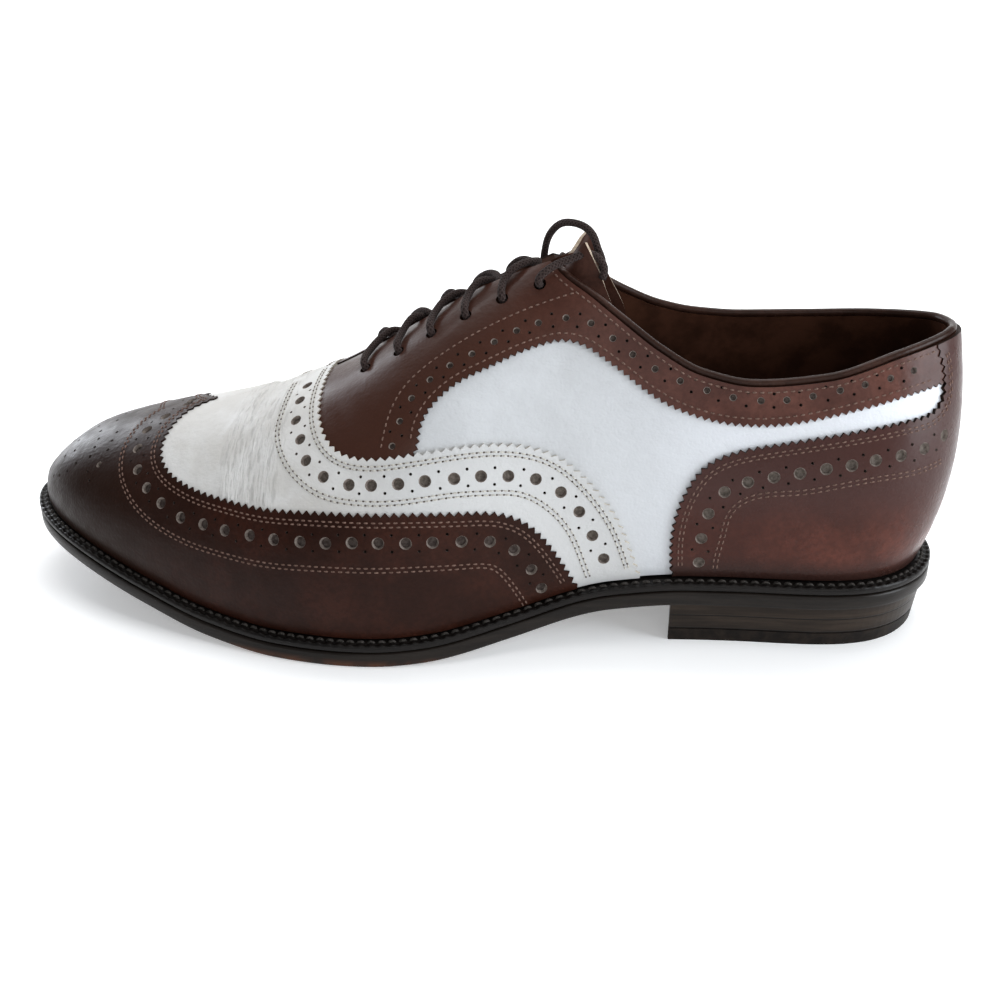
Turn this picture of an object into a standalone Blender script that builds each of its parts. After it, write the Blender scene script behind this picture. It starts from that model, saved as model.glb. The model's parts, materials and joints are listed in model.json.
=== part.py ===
# Spectator shoe: a men's two-tone wingtip oxford, the left one of a pair.
# Metres. +X runs from heel to toe, +Y to the outer side, +Z up, and the origin is under the heel's centre.
import math
from collections import namedtuple

import bmesh
import bpy
import numpy as np
from mathutils import Vector
from mathutils.geometry import delaunay_2d_cdt

OBJECT = "spectator_shoe"

# driving dimensions of the last
LAST_LENGTH = 0.2925
LAST_WIDTH = 0.096
INSTEP = 0.100
LAST_BACK = -0.0355            # back of the last; the origin lies under the heel's centre

# sole and heel
SOLE_MARGIN = 0.0045           # how far sole and welt stand out from the last
HEEL_RISE = 0.0137             # floor to the underside of the outsole at the heel
OUTSOLE = 0.0046
WELT = 0.0026
WELT_WIDTH = 0.0105
WELT_BEAD = 0.0009
SEAT_CLEAR = 0.0002            # the upper's edge clears the welt by this much more than the usual gap
TOP_PIECE = 0.0042
HEEL_BREAST = 0.043
HEEL_INSET = 0.0015            # the heel stands this far inside the sole's edge
HEEL_TAPER = 0.0016
BREAST_RADIUS = 0.180
BREAST_HOLLOW = 0.0030
EDGE_ROUND = 0.0009
INSOLE = 0.0028
INSOLE_CLEAR = 0.0018

# upper, its overlays and their seams
GAP = 0.0003                   # clearance between neighbouring pieces
LAYER_GAP = 0.00055            # clearance between the upper and the leather laid over it
WALL = 0.0020
LEATHER = 0.0010
WING_LEATHER = 0.0015
BINDING_RADIUS = 0.0011
BINDING_CORNER = 0.398         # where the binding ends, at the facing's top corner
TONGUE = 0.0018
TONGUE_SINK = 0.0042           # the tongue's outer face lies this far inside the last's surface
TONGUE_LIFT = 0.0055           # the middle of its top end stands up by this much
LIFT_FROM = 0.415               # where along the last it starts to stand up
LIFT_TO = 0.385
LIFT_MIDDLE = 0.93             # up the ribs, where the lift ends towards the sides

# lacing
LACE = 0.0023
LACE_CLEAR = 0.0004
EYELET_RADIUS = 0.0019

# layers, measured outwards from the last's surface
BASE_OUT = -LEATHER
PANEL_IN = BASE_OUT + LAYER_GAP
LACE_LIFT = PANEL_IN + LEATHER + LACE_CLEAR + LACE / 2      # the lace's middle where it lies on a facing

# sole underside, as a share of the heel's rise along the last
Under = namedtuple("Under", "along height")
UNDER = [Under(*row) for row in (
    (0.00, 1.00), (0.10, 1.00), (0.25, 1.00), (0.33, 0.88), (0.43, 0.38), (0.52, 0.05), (0.57, 0.00),
    (0.67, 0.00), (0.75, 0.16), (0.83, 0.56), (0.93, 1.10), (1.02, 1.45))]

# one row for each rib of the last, from heel to toe; lengths are shares of these sizes:
# along and ridge_at of LAST_LENGTH, ridge_height of INSTEP, centre, half, ridge_centre, ridge_half, bulge
# and lean of LAST_WIDTH, rise and drop of the rib's height, spread of its width
Rib = namedtuple("Rib", "along centre half ridge_at ridge_height ridge_centre ridge_half "
                        "bulge rise spread lean drop")
RIBS = [Rib(*row) for row in (
    (0.00, 0.000, 0.000, 0.002, 1.050, 0.000, 0.000, 0.110, 0.36, 0.00, 0.075, 0.34),
    (0.02, 0.000, 0.185, 0.014, 1.050, 0.000, 0.095, 0.105, 0.36, 0.00, 0.065, 0.34),
    (0.05, 0.000, 0.272, 0.040, 1.050, 0.000, 0.150, 0.090, 0.36, 0.00, 0.055, 0.34),
    (0.10, 0.000, 0.323, 0.085, 1.060, 0.000, 0.200, 0.065, 0.38, 0.05, 0.040, 0.34),
    (0.20, 0.000, 0.330, 0.180, 1.100, 0.000, 0.215, 0.045, 0.40, 0.15, 0.020, 0.34),
    (0.30, 0.025, 0.322, 0.280, 1.170, 0.000, 0.165, 0.035, 0.42, 0.25, 0.000, 0.28),
    (0.40, 0.062, 0.338, 0.378, 1.140, 0.000, 0.080, 0.035, 0.44, 0.42, 0.000, 0.16),
    (0.50, 0.090, 0.425, 0.483, 1.005, 0.000, 0.020, 0.045, 0.48, 0.58, 0.000, 0.03),
    (0.60, 0.070, 0.488, 0.588, 0.820, -0.004, 0.000, 0.050, 0.52, 0.62, 0.000, 0.00),
    (0.70, 0.014, 0.491, 0.693, 0.680, -0.012, 0.000, 0.045, 0.55, 0.62, 0.000, 0.00),
    (0.80, -0.044, 0.448, 0.793, 0.600, -0.035, 0.000, 0.035, 0.58, 0.60, 0.000, 0.00),
    (0.90, -0.082, 0.350, 0.891, 0.525, -0.070, 0.000, 0.025, 0.62, 0.58, 0.000, 0.00),
    (0.95, -0.095, 0.258, 0.942, 0.468, -0.087, 0.000, 0.015, 0.64, 0.56, 0.000, 0.00),
    (0.98, -0.105, 0.170, 0.974, 0.402, -0.098, 0.000, 0.010, 0.64, 0.56, 0.000, 0.00),
    (1.00, -0.110, 0.000, 0.985, 0.345, -0.105, 0.000, 0.000, 0.60, 0.55, 0.040, 0.20))]

# topline heights over the floor as shares of INSTEP, outer and inner side
Top = namedtuple("Top", "along outer inner")
TOPLINE = [Top(*row) for row in (
    (0.00, 0.916, 0.916), (0.06, 0.875, 0.900), (0.13, 0.815, 0.885), (0.20, 0.795, 0.880),
    (0.25, 0.822, 0.892), (0.29, 0.881, 0.920), (0.33, 0.962, 0.974), (0.36, 1.024, 1.027),
    (0.39, 1.078, 1.080), (0.50, 1.450, 1.450))]

# half the throat's width as a share of LAST_WIDTH
Slit = namedtuple("Slit", "along half")
THROAT = [Slit(*row) for row in ((0.30, 0.094), (0.38, 0.083), (0.50, 0.042), (0.60, 0.021), (0.655, 0.016))]
THROAT_FROM = 0.30
THROAT_END = 0.655

# edges of the overlays on one side: along the last's length, and up the rib from feather (0) to ridge (1)
Mark = namedtuple("Mark", "along up")
WING_EDGE = [Mark(*row) for row in (
    (0.365, 0.000), (0.382, 0.080), (0.400, 0.150), (0.422, 0.210), (0.450, 0.250), (0.480, 0.272),
    (0.520, 0.297), (0.575, 0.330), (0.630, 0.363), (0.680, 0.388), (0.725, 0.418), (0.755, 0.440),
    (0.780, 0.470), (0.797, 0.505), (0.814, 0.585), (0.819, 0.660), (0.817, 0.800), (0.808, 0.910),
    (0.785, 1.000))]
VAMP_EDGE = [Mark(*row) for row in (
    (0.301, 0.000), (0.310, 0.062), (0.323, 0.144), (0.341, 0.218), (0.361, 0.280), (0.385, 0.338),
    (0.409, 0.376), (0.442, 0.406), (0.475, 0.424), (0.507, 0.437), (0.545, 0.454), (0.565, 0.466),
    (0.585, 0.486), (0.605, 0.522), (0.622, 0.584), (0.634, 0.668), (0.641, 0.764), (0.645, 0.874),
    (0.648, 1.000))]
FACING_EDGE = [Mark(*row) for row in (
    (0.530, 0.449), (0.527, 0.506), (0.520, 0.554), (0.508, 0.584), (0.489, 0.606), (0.466, 0.620),
    (0.440, 0.642), (0.418, 0.658), (0.397, 0.664), (0.379, 0.650), (0.358, 0.615), (0.333, 0.570),
    (0.310, 0.530), (0.290, 0.506), (0.270, 0.493), (0.244, 0.490), (0.208, 0.506), (0.173, 0.536),
    (0.137, 0.576), (0.090, 0.630), (0.058, 0.668), (0.031, 0.690))]
COUNTER_EDGE = [Mark(*row) for row in (
    (0.268, 0.000), (0.271, 0.088), (0.269, 0.182), (0.261, 0.262), (0.248, 0.335), (0.226, 0.394),
    (0.192, 0.446), (0.158, 0.484), (0.122, 0.518), (0.088, 0.548), (0.058, 0.574), (0.038, 0.600),
    (0.031, 0.645), (0.031, 0.690), (0.033, 0.750), (0.039, 0.810), (0.042, 0.880))]
EYELETS = [Mark(*row) for row in (
    (0.598, 0.824), (0.563, 0.816), (0.530, 0.818), (0.497, 0.826), (0.463, 0.843), (0.428, 0.866))]

# the tongue's edge on one side, from the top end's middle round to its foot
TONGUE_EDGE = [Mark(*row) for row in (
    (0.393, 1.000), (0.389, 0.930), (0.379, 0.850), (0.362, 0.770), (0.348, 0.700), (0.343, 0.630),
    (0.352, 0.580), (0.375, 0.570), (0.420, 0.610), (0.480, 0.650), (0.560, 0.680), (0.640, 0.720),
    (0.680, 0.760), (0.690, 0.860), (0.692, 1.000))]

# fineness of the lofts and shells
PLATE_STEPS = 40
SHELL_STEPS = 34
SHELL_ROWS = 12
EYELET_SIDES = 10

BROWN = (0.075, 0.028, 0.018, 1.0)
DARK_BROWN = (0.030, 0.016, 0.012, 1.0)
SOLE_BROWN = (0.020, 0.014, 0.011, 1.0)
WHITE = (0.78, 0.79, 0.80, 1.0)
TAN = (0.30, 0.17, 0.09, 1.0)


# curves through the tables

def natural(knots, values, x):
    """Natural cubic spline through (knots, values)."""
    knots, values, x = (np.asarray(v, float) for v in (knots, values, x))
    count, step = len(knots), np.diff(knots)
    matrix, right = np.eye(count), np.zeros(count)
    for i in range(1, count - 1):
        matrix[i, i - 1:i + 2] = step[i - 1], 2 * (step[i - 1] + step[i]), step[i]
        right[i] = 6 * ((values[i + 1] - values[i]) / step[i] - (values[i] - values[i - 1]) / step[i - 1])
    bend = np.linalg.solve(matrix, right)
    k = np.clip(np.searchsorted(knots, x) - 1, 0, count - 2)
    a = (knots[k + 1] - x) / step[k]
    b = 1 - a
    curved = ((a ** 3 - a) * bend[k] + (b ** 3 - b) * bend[k + 1]) * step[k] ** 2 / 6
    return a * values[k] + b * values[k + 1] + curved


def steady(knots, values, x):
    """Cubic curve through (knots, values) that never overshoots them."""
    knots, values = np.asarray(knots, float), np.asarray(values, float)
    step = np.diff(knots)
    rate = np.diff(values) / step
    slope = np.zeros(len(knots))
    slope[0], slope[-1] = rate[0], rate[-1]
    for i in range(1, len(knots) - 1):
        if rate[i - 1] * rate[i] > 0:
            before, after = 2 * step[i] + step[i - 1], step[i] + 2 * step[i - 1]
            slope[i] = (before + after) / (before / rate[i - 1] + after / rate[i])
    x = np.clip(x, knots[0], knots[-1])
    k = np.clip(np.searchsorted(knots, x) - 1, 0, len(knots) - 2)
    q = (x - knots[k]) / step[k]
    return ((1 + 2 * q) * (1 - q) ** 2 * values[k] + q * (1 - q) ** 2 * step[k] * slope[k]
            + q * q * (3 - 2 * q) * values[k + 1] + q * q * (q - 1) * step[k] * slope[k + 1])


def turn(along):
    """Parameter that crowds the ribs at heel and toe."""
    return np.arccos(1 - 2 * np.clip(np.asarray(along, float), 0, 1)) / math.pi


def share(t):
    return (1 - np.cos(math.pi * np.asarray(t, float))) / 2


RIB_TURNS = turn([rib.along for rib in RIBS])


def rib(column, t):
    return natural(RIB_TURNS, [getattr(row, column) for row in RIBS], t)


def table(rows, column, along):
    return steady([row.along for row in rows], [getattr(row, column) for row in rows], along)


# the last

def underside(x):
    """Height of the outsole's underside over the floor."""
    return HEEL_RISE * table(UNDER, "height", (x - LAST_BACK) / LAST_LENGTH)


def feather_height(x):
    return underside(x) + OUTSOLE + WELT + 2 * GAP + SEAT_CLEAR


def plan(t, side, margin=0.0):
    """Outline of the last seen from above, moved out by margin, and its outward direction."""
    t = np.asarray(t, float)

    def outline(q):
        across = LAST_WIDTH * (rib("centre", q) + side * rib("half", q))
        return np.stack([LAST_BACK + LAST_LENGTH * share(q), across], -1)

    step = 1e-3
    along = outline(np.minimum(t + step, 1)) - outline(np.maximum(t - step, 0))
    out = np.stack([-along[..., 1], along[..., 0]], -1) * side
    out = np.where(t[..., None] < 1e-9, np.array([-1.0, 0.0]), out)
    out = np.where(t[..., None] > 1 - 1e-9, np.array([1.0, 0.0]), out)
    out = out / np.linalg.norm(out, axis=-1, keepdims=True)
    return outline(t) + out * margin, out


def last(t, up, side):
    """Point of the last: t from heel to toe, up from feather to ridge."""
    t, up = np.broadcast_arrays(np.asarray(t, float), np.asarray(up, float))
    foot, out = plan(t, side)
    low = np.concatenate([foot, feather_height(foot[..., 0])[..., None]], -1)
    across = LAST_WIDTH * (rib("ridge_centre", t) + side * np.maximum(rib("ridge_half", t), 0))
    high = np.stack([LAST_BACK + LAST_LENGTH * rib("ridge_at", t), across, INSTEP * rib("ridge_height", t)], -1)
    height = (high - low)[..., 2:] * np.array([0, 0, 1.0])
    width = (low - high) * np.array([1.0, 1.0, 0])
    outward = LAST_WIDTH * np.concatenate([out, 0 * out[..., :1]], -1)
    pull = {name: rib(name, t)[..., None] for name in ("bulge", "rise", "spread", "lean", "drop")}
    first = low + outward * pull["bulge"] + height * pull["rise"]
    second = high + width * pull["spread"] + outward * pull["lean"] - height * pull["drop"]
    up = up[..., None]
    return ((1 - up) ** 3 * low + 3 * (1 - up) ** 2 * up * first
            + 3 * (1 - up) * up ** 2 * second + up ** 3 * high)


def skin(t, up, side, offset):
    """The last's surface moved outwards by offset; both sides agree where they meet."""
    step = 1e-3
    t, up = np.broadcast_arrays(np.asarray(t, float), np.asarray(up, float))
    along = (last(np.minimum(t + step, 1), up, side) - last(np.maximum(t - step, 0), up, side)) * side
    rise = last(t, np.minimum(up + step, 1), side) - last(t, np.maximum(up - step, 0), side)
    along[t < 1e-6] = (0, 1, 0)
    along[t > 1 - 1e-6] = (0, -1, 0)
    ridge = (up > 1 - 1e-6) & (t > turn(THROAT_END - 0.02)) & (t < 1 - 1e-6)
    rise[ridge] = (0, -side, 0)
    normal = np.cross(rise, along)
    normal /= np.linalg.norm(normal, axis=-1, keepdims=True)
    return last(t, up, side) + normal * offset


def rim(t, side):
    """How far up each rib the upper reaches: to the topline, to the throat's edge or to the ridge."""
    ups = np.linspace(0, 1, 161)
    points = last(np.asarray(t, float)[:, None], ups[None, :], side)
    along = (points[..., 0] - LAST_BACK) / LAST_LENGTH
    over = points[..., 2] - INSTEP * table(TOPLINE, "outer" if side > 0 else "inner", along)
    centre = LAST_WIDTH * rib("ridge_centre", np.asarray(t, float))[:, None]
    inside = LAST_WIDTH * table(THROAT, "half", along) - side * (points[..., 1] - centre)
    open_rib = (along[:, -1] > THROAT_FROM) & (along[:, -1] < THROAT_END)
    inside = np.where(open_rib[:, None], inside, -1.0)
    reach = np.ones(len(points))
    for i, past in enumerate(np.maximum(over, inside)):
        crossed = np.nonzero(past > 0)[0]
        if len(crossed):
            k = crossed[0]
            reach[i] = np.interp(0.0, past[k - 1:k + 1], ups[k - 1:k + 1])
    return reach


# meshes and objects

def material(name, colour, roughness):
    made = bpy.data.materials.get(name) or bpy.data.materials.new(name)
    made.use_nodes = True
    shader = made.node_tree.nodes["Principled BSDF"]
    shader.inputs["Base Color"].default_value = colour
    shader.inputs["Roughness"].default_value = roughness
    return made


def add_object(name, mesh, colour, roughness, collection):
    made = bpy.data.objects.new(name, mesh)
    mesh.materials.append(material(name, colour, roughness))
    collection.objects.link(made)
    return made


def welded_mesh(name, points, faces, merge=1e-5):
    """A mesh from points and faces, with points that coincide made one."""
    mesh = bpy.data.meshes.new(name)
    mesh.from_pydata([tuple(map(float, p)) for p in points], [], faces)
    work = bmesh.new()
    work.from_mesh(mesh)
    bmesh.ops.remove_doubles(work, verts=work.verts, dist=merge)
    bmesh.ops.dissolve_degenerate(work, edges=work.edges, dist=merge)
    work.to_mesh(mesh)
    work.free()
    mesh.shade_smooth()
    mesh.set_sharp_from_angle(angle=math.radians(40))
    return mesh


def closed_mesh(name, points, faces):
    mesh = welded_mesh(name, points, faces)
    work = bmesh.new()
    work.from_mesh(mesh)
    bmesh.ops.recalc_face_normals(work, faces=work.faces)
    work.to_mesh(mesh)
    work.free()
    return mesh


def loft(rings, loop=False):
    """Faces that join closed rings of points; without loop the first and last ring get a cap."""
    count, size = len(rings), len(rings[0])
    points = [p for ring in rings for p in ring]
    faces = []
    for i in range(count if loop else count - 1):
        a, b = i * size, ((i + 1) % count) * size
        faces += [(a + k, a + (k + 1) % size, b + (k + 1) % size, b + k) for k in range(size)]
    if not loop:
        faces += [tuple(range(size)), tuple(range((count - 1) * size, count * size))]
    return points, faces


# sole, welt, heel and insole

def plate_rings(ends, levels, floor, steps=PLATE_STEPS):
    """Sections across a plate; a level is (margin, height over floor(x)), and ends are t for each side."""
    rings = []
    for q in np.linspace(0, 1, steps + 1):
        ring = []
        for side, rows in ((1, levels), (-1, levels[::-1])):
            for margin, height in rows:
                x, y = plan(q * ends[side], side, margin)[0]
                ring.append((x, y, floor(x) + height))
        rings.append(ring)
    return rings


def plate(name, levels, colour, roughness, collection, floor=underside, ends=None):
    ends = ends or {1: 1.0, -1: 1.0}
    mesh = closed_mesh(name, *loft(plate_rings(ends, levels, floor)))
    return add_object(name, mesh, colour, roughness, collection)


def turn_at(x, side, margin):
    """The t at which the outline on one side passes x."""
    ts = np.linspace(0, 1, 800)
    return float(np.interp(x, plan(ts, side, margin)[0][:, 0], ts))


def add_outsole(parts):
    levels = [(SOLE_MARGIN - EDGE_ROUND, 0.0), (SOLE_MARGIN, EDGE_ROUND),
              (SOLE_MARGIN, OUTSOLE - EDGE_ROUND / 2), (SOLE_MARGIN - EDGE_ROUND / 2, OUTSOLE)]
    plate("outsole", levels, SOLE_BROWN, 0.45, parts)


def add_welt(parts):
    """A strip round the whole shoe, with a bead along its upper outer edge."""
    base = OUTSOLE + GAP
    inner = SOLE_MARGIN - WELT_WIDTH
    section = [(inner, base), (SOLE_MARGIN - EDGE_ROUND / 2, base), (SOLE_MARGIN, base + EDGE_ROUND / 2),
               (SOLE_MARGIN, base + WELT - EDGE_ROUND / 2), (SOLE_MARGIN - EDGE_ROUND / 2, base + WELT),
               (SOLE_MARGIN - WELT_BEAD, base + WELT - EDGE_ROUND / 3), (inner, base + WELT - EDGE_ROUND / 3)]
    outer = np.linspace(0, 1, PLATE_STEPS + 1)
    rings = []
    for side, ts in ((1, outer), (-1, outer[-2:0:-1])):
        for t in ts:
            spots = [(plan(t, side, margin)[0], height) for margin, height in section]
            rings.append([(x, y, underside(x) + height) for (x, y), height in spots])
    add_object("welt", closed_mesh("welt", *loft(rings, loop=True)), SOLE_BROWN, 0.5, parts)


def breast_cutter(cutters):
    """An upright drum that hollows the heel's breast."""
    bpy.ops.mesh.primitive_cylinder_add(
        vertices=160, radius=BREAST_RADIUS, depth=4 * HEEL_RISE,
        location=(HEEL_BREAST + BREAST_RADIUS - BREAST_HOLLOW, 0, HEEL_RISE / 2))
    drum = bpy.context.object
    drum.name = "breast_cutter"
    drum.hide_render = True
    drum.display_type = "WIRE"
    for home in list(drum.users_collection):
        home.objects.unlink(drum)
    cutters.objects.link(drum)
    return drum


def add_heel(parts, cutters):
    """Stack of lifts and the top piece that meets the floor, drawn in towards the floor."""
    drum = breast_cutter(cutters)
    top = HEEL_RISE - GAP
    lifts = TOP_PIECE + GAP

    def margin(height):
        return SOLE_MARGIN - HEEL_INSET - HEEL_TAPER * (1 - height / HEEL_RISE)

    bands = {"heel_top_piece": [0.0, TOP_PIECE], "heel_stack": [lifts, (lifts + top) / 2, top]}
    for name, heights in bands.items():
        levels = [(margin(height), height) for height in heights]
        ends = {side: turn_at(HEEL_BREAST, side, margin(0.0)) for side in (1, -1)}
        piece = plate(name, levels, SOLE_BROWN, 0.4, parts, floor=lambda x: 0.0, ends=ends)
        cut = piece.modifiers.new("breast", "BOOLEAN")
        cut.operation = "DIFFERENCE"
        cut.solver = "EXACT"
        cut.object = drum


def add_insole(parts):
    inset = BASE_OUT - WALL - INSOLE_CLEAR
    low = OUTSOLE + WELT + 2 * GAP
    levels = [(inset, low), (inset, low + INSOLE)]
    plate("insole", levels, TAN, 0.7, parts)


# shells cut from the last's surface

def arc_of_circle(centre, radius):
    """A small round hole in the chart of one side."""
    point = Vector(last(turn(centre.along), centre.up, 1))
    step = 1e-3
    t = float(turn(centre.along))
    per_t = (Vector(last(t + step, centre.up, 1)) - point).length / step
    per_up = (Vector(last(t, centre.up + step, 1)) - point).length / step
    angles = np.arange(EYELET_SIDES) * 2 * math.pi / EYELET_SIDES
    return [(t + radius * math.cos(a) / per_t, centre.up + radius * math.sin(a) / per_up) for a in angles]


def inside(outline, point):
    x, y = point
    hit = False
    for (ax, ay), (bx, by) in zip(outline, outline[1:] + outline[:1]):
        if (ay > y) != (by > y) and x < (bx - ax) * (y - ay) / (by - ay) + ax:
            hit = not hit
    return hit


def near(outline, point, reach):
    ends = np.array(outline)
    starts = np.roll(ends, 1, axis=0)
    run = ends - starts
    share_of = np.clip(((point - starts) * run).sum(1) / np.maximum((run * run).sum(1), 1e-12), 0, 1)
    return np.linalg.norm(starts + run * share_of[:, None] - point, axis=1).min() < reach


def chart(outline, holes=()):
    """Triangles over an outline in (t, up), with a regular net of points inside it."""
    t_step, up_step = 1 / SHELL_STEPS, 1 / SHELL_ROWS
    net = [(i * t_step, j * up_step) for i in range(SHELL_STEPS + 1) for j in range(SHELL_ROWS + 1)]
    stretch = np.array([1.0, t_step / up_step])
    loops = [[tuple(np.array(p) * stretch) for p in loop] for loop in (outline, *holes)]
    points, edges = [], []
    for loop in loops:
        first = len(points)
        points += loop
        edges += [(first + k, first + (k + 1) % len(loop)) for k in range(len(loop))]
    for spot in net:
        spot = tuple(np.array(spot) * stretch)
        clear = all(not near(loop, np.array(spot), 0.35 * t_step) for loop in loops)
        if clear and inside(loops[0], spot) and not any(inside(hole, spot) for hole in loops[1:]):
            points.append(spot)
    made = delaunay_2d_cdt([Vector(p) for p in points], edges, [], 1, 1e-7)
    spots = np.array([tuple(v) for v in made[0]])
    solid = [face for face in made[2] if not any(inside(hole, spots[list(face)].mean(0)) for hole in loops[1:])]
    return spots / stretch, solid


def panel(name, outlines, offset, thickness, colour, roughness, collection, holes=(), outwards=1.0):
    """A leather piece: each side's chart laid on the last at offset, then thickened outwards (or inwards, -1)."""
    points, faces = [], []
    for side, outline in outlines.items():
        spots, triangles = chart(outline, holes)
        depth = offset(spots[:, 0], spots[:, 1]) if callable(offset) else offset
        laid = skin(spots[:, 0], spots[:, 1], side, depth)
        first = len(points)
        points += list(laid)
        for a, b, c in triangles:
            flip = side > 0
            faces.append((first + a, first + c, first + b) if flip else (first + a, first + b, first + c))
    piece = add_object(name, welded_mesh(name, points, faces, merge=2e-5), colour, roughness, collection)
    shell = piece.modifiers.new("thickness", "SOLIDIFY")
    shell.thickness = thickness
    shell.offset = outwards
    return piece


def on_chart(marks, shift=0.0):
    """Marks as (t, up), moved sideways by a shift in metres, to the right of their run."""
    spots = np.array([(mark.along * LAST_LENGTH, mark.up * INSTEP) for mark in marks])
    run = np.gradient(spots, axis=0)
    right = np.stack([run[:, 1], -run[:, 0]], -1) / np.linalg.norm(run, axis=1, keepdims=True)
    right[0, 1] = right[-1, 1] = 0.0
    moved = spots + right * shift
    return [(float(turn(x / LAST_LENGTH)), float(y / INSTEP)) for x, y in moved]


def stretch_of(start, end, steps=SHELL_STEPS):
    """The net's own t values between two ends, both ends included."""
    low, high = min(start, end), max(start, end)
    inner = [k / steps for k in range(steps + 1) if low + 0.2 / steps < k / steps < high - 0.2 / steps]
    run = [low, *inner, high]
    return run if start < end else run[::-1]


def along_feather(start, end):
    return [(t, 0.0) for t in stretch_of(start, end)]


def along_rim(start, end, side):
    ts = stretch_of(start, end)
    return list(zip(ts, map(float, rim(ts, side))))


def along_ridge(start, end):
    return [(t, 1.0) for t in stretch_of(start, end)]


def upright(t):
    return [(t, j / SHELL_ROWS) for j in range(SHELL_ROWS + 1)]


def toe_seam():
    """Up the toe's middle; no point lies next to the ridge, so that no triangle joins seam and ridge alone."""
    run = upright(1.0)
    return run[:-2] + run[-1:]


def back_seam(side):
    """The seam down the heel, from the topline to the feather."""
    top = float(rim([0.0], side)[0])
    return [(0.0, top)] + [(0.0, up) for _, up in upright(0)[::-1] if up < top - 0.3 / SHELL_ROWS]


def throat_end_turn():
    """The t of the rib whose ridge closes the throat."""
    ts = np.linspace(0.5, 0.7, 400)
    return float(np.interp(THROAT_END, rib("ridge_at", ts), ts))


def eyelet_loops():
    return [arc_of_circle(mark, EYELET_RADIUS) for mark in EYELETS]


def upper_outline(side):
    """One side of the base: feather, toe, ridge, throat, topline and back seam."""
    closed = throat_end_turn() + 0.1 / SHELL_STEPS
    ridge = along_ridge(1.0, closed)
    throat = along_rim(closed - 0.2 / SHELL_STEPS, 0.0, side)
    return along_feather(0.0, 1.0) + toe_seam()[1:] + ridge[1:] + throat[:-1] + back_seam(side)[:-1]


def add_upper(parts):
    outlines = {side: upper_outline(side) for side in (1, -1)}
    panel("upper", outlines, BASE_OUT, WALL, WHITE, 0.5, parts, eyelet_loops(), outwards=-1.0)


def add_overlays(parts):
    half_gap = GAP / 2
    wing = on_chart(WING_EDGE, half_gap)
    toe = along_ridge(wing[-1][0], 1.0)[1:] + toe_seam()[-2:0:-1] + along_feather(1.0, wing[0][0])[:-1]
    panel("wingtip_cap", {side: wing + toe for side in (1, -1)}, PANEL_IN, WING_LEATHER, BROWN, 0.35, parts)

    wing_side = on_chart(WING_EDGE, -half_gap)
    vamp_side = on_chart(VAMP_EDGE, half_gap)
    vamp = (vamp_side + along_ridge(vamp_side[-1][0], wing_side[-1][0])[1:-1] + wing_side[::-1]
            + along_feather(wing_side[0][0], vamp_side[0][0])[1:-1])
    panel("vamp", {side: vamp for side in (1, -1)}, PANEL_IN, LEATHER, WHITE, 0.45, parts)

    for side, name in ((1, "facing_outer"), (-1, "facing_inner")):
        panel(name, {side: facing_outline(side)}, PANEL_IN, LEATHER, BROWN, 0.35, parts, eyelet_loops())

    outlines = {side: counter_outline(side) for side in (1, -1)}
    panel("counter", outlines, PANEL_IN, LEATHER, BROWN, 0.3, parts)


def clipped_to_rim(spots, side):
    """The part of a run of chart points that lies under the upper's rim."""
    reach = rim([t for t, _ in spots], side)
    return [spot for spot, top in zip(spots, reach) if spot[1] < top - 0.01]


def facing_outline(side):
    """Facing and collar band: from the vamp's seam along the lower edge to the back strip, and over the rim."""
    lower = on_chart(FACING_EDGE, 0.0)
    strip = on_chart([mark for mark in COUNTER_EDGE if mark.up >= FACING_EDGE[-1].up], GAP / 2)
    strip = clipped_to_rim(strip, side)
    front = on_chart([mark for mark in VAMP_EDGE if mark.up > FACING_EDGE[0].up], -GAP / 2)
    front = clipped_to_rim(front, side)
    rim_run = along_rim(strip[-1][0], front[-1][0], side)
    return lower + strip[1:] + rim_run + front[::-1]


def counter_outline(side):
    edge = clipped_to_rim(on_chart(COUNTER_EDGE, -GAP / 2), side)
    rim_run = along_rim(edge[-1][0], 0.0, side)
    return edge + rim_run[:-1] + back_seam(side)[:-1] + along_feather(0.0, edge[0][0])[:-1]


def add_binding(parts):
    """The folded binding: a bead that rides on the rim from corner to corner round the heel."""
    ts = np.array(stretch_of(0.0, float(turn(BINDING_CORNER))))
    points = []
    for side, run in ((1, ts[::-1]), (-1, ts[1:])):
        tops = rim(run, side)
        laid = skin(run, tops, side, BASE_OUT - WALL / 2 + LEATHER / 2)
        outwards = skin(run, tops, side, 1.0) - skin(run, tops, side, 0.0)
        upwards = np.cross(outwards, np.gradient(laid, axis=0))
        upwards *= np.sign(upwards[:, 2:]) / np.linalg.norm(upwards, axis=1, keepdims=True)
        points += list(laid + upwards * (2 * GAP + BINDING_RADIUS))
    add_tube("collar_binding", points, BINDING_RADIUS, DARK_BROWN, 0.25, parts)


def ease(x):
    x = np.clip(x, 0, 1)
    return x * x * (3 - 2 * x)


def tongue_offset(t, up):
    """Place of the tongue's outer face from the last's surface; its top end stands up in the middle."""
    stand = ease((LIFT_FROM - share(t)) / (LIFT_FROM - LIFT_TO)) * ease((up - LIFT_MIDDLE) / (1 - LIFT_MIDDLE))
    return (TONGUE_LIFT * stand - TONGUE_SINK)[:, None]


def add_tongue(parts):
    """A soft leather tongue under the throat, from the vamp to a little above the facings."""
    side_run = on_chart(TONGUE_EDGE)
    seam = along_ridge(side_run[-1][0], side_run[0][0])[1:-1]
    outline = side_run + seam
    piece = panel("tongue", {1: outline, -1: outline}, tongue_offset, TONGUE, BROWN, 0.6, parts, outwards=-1.0)
    bridge_halves(piece)


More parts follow.
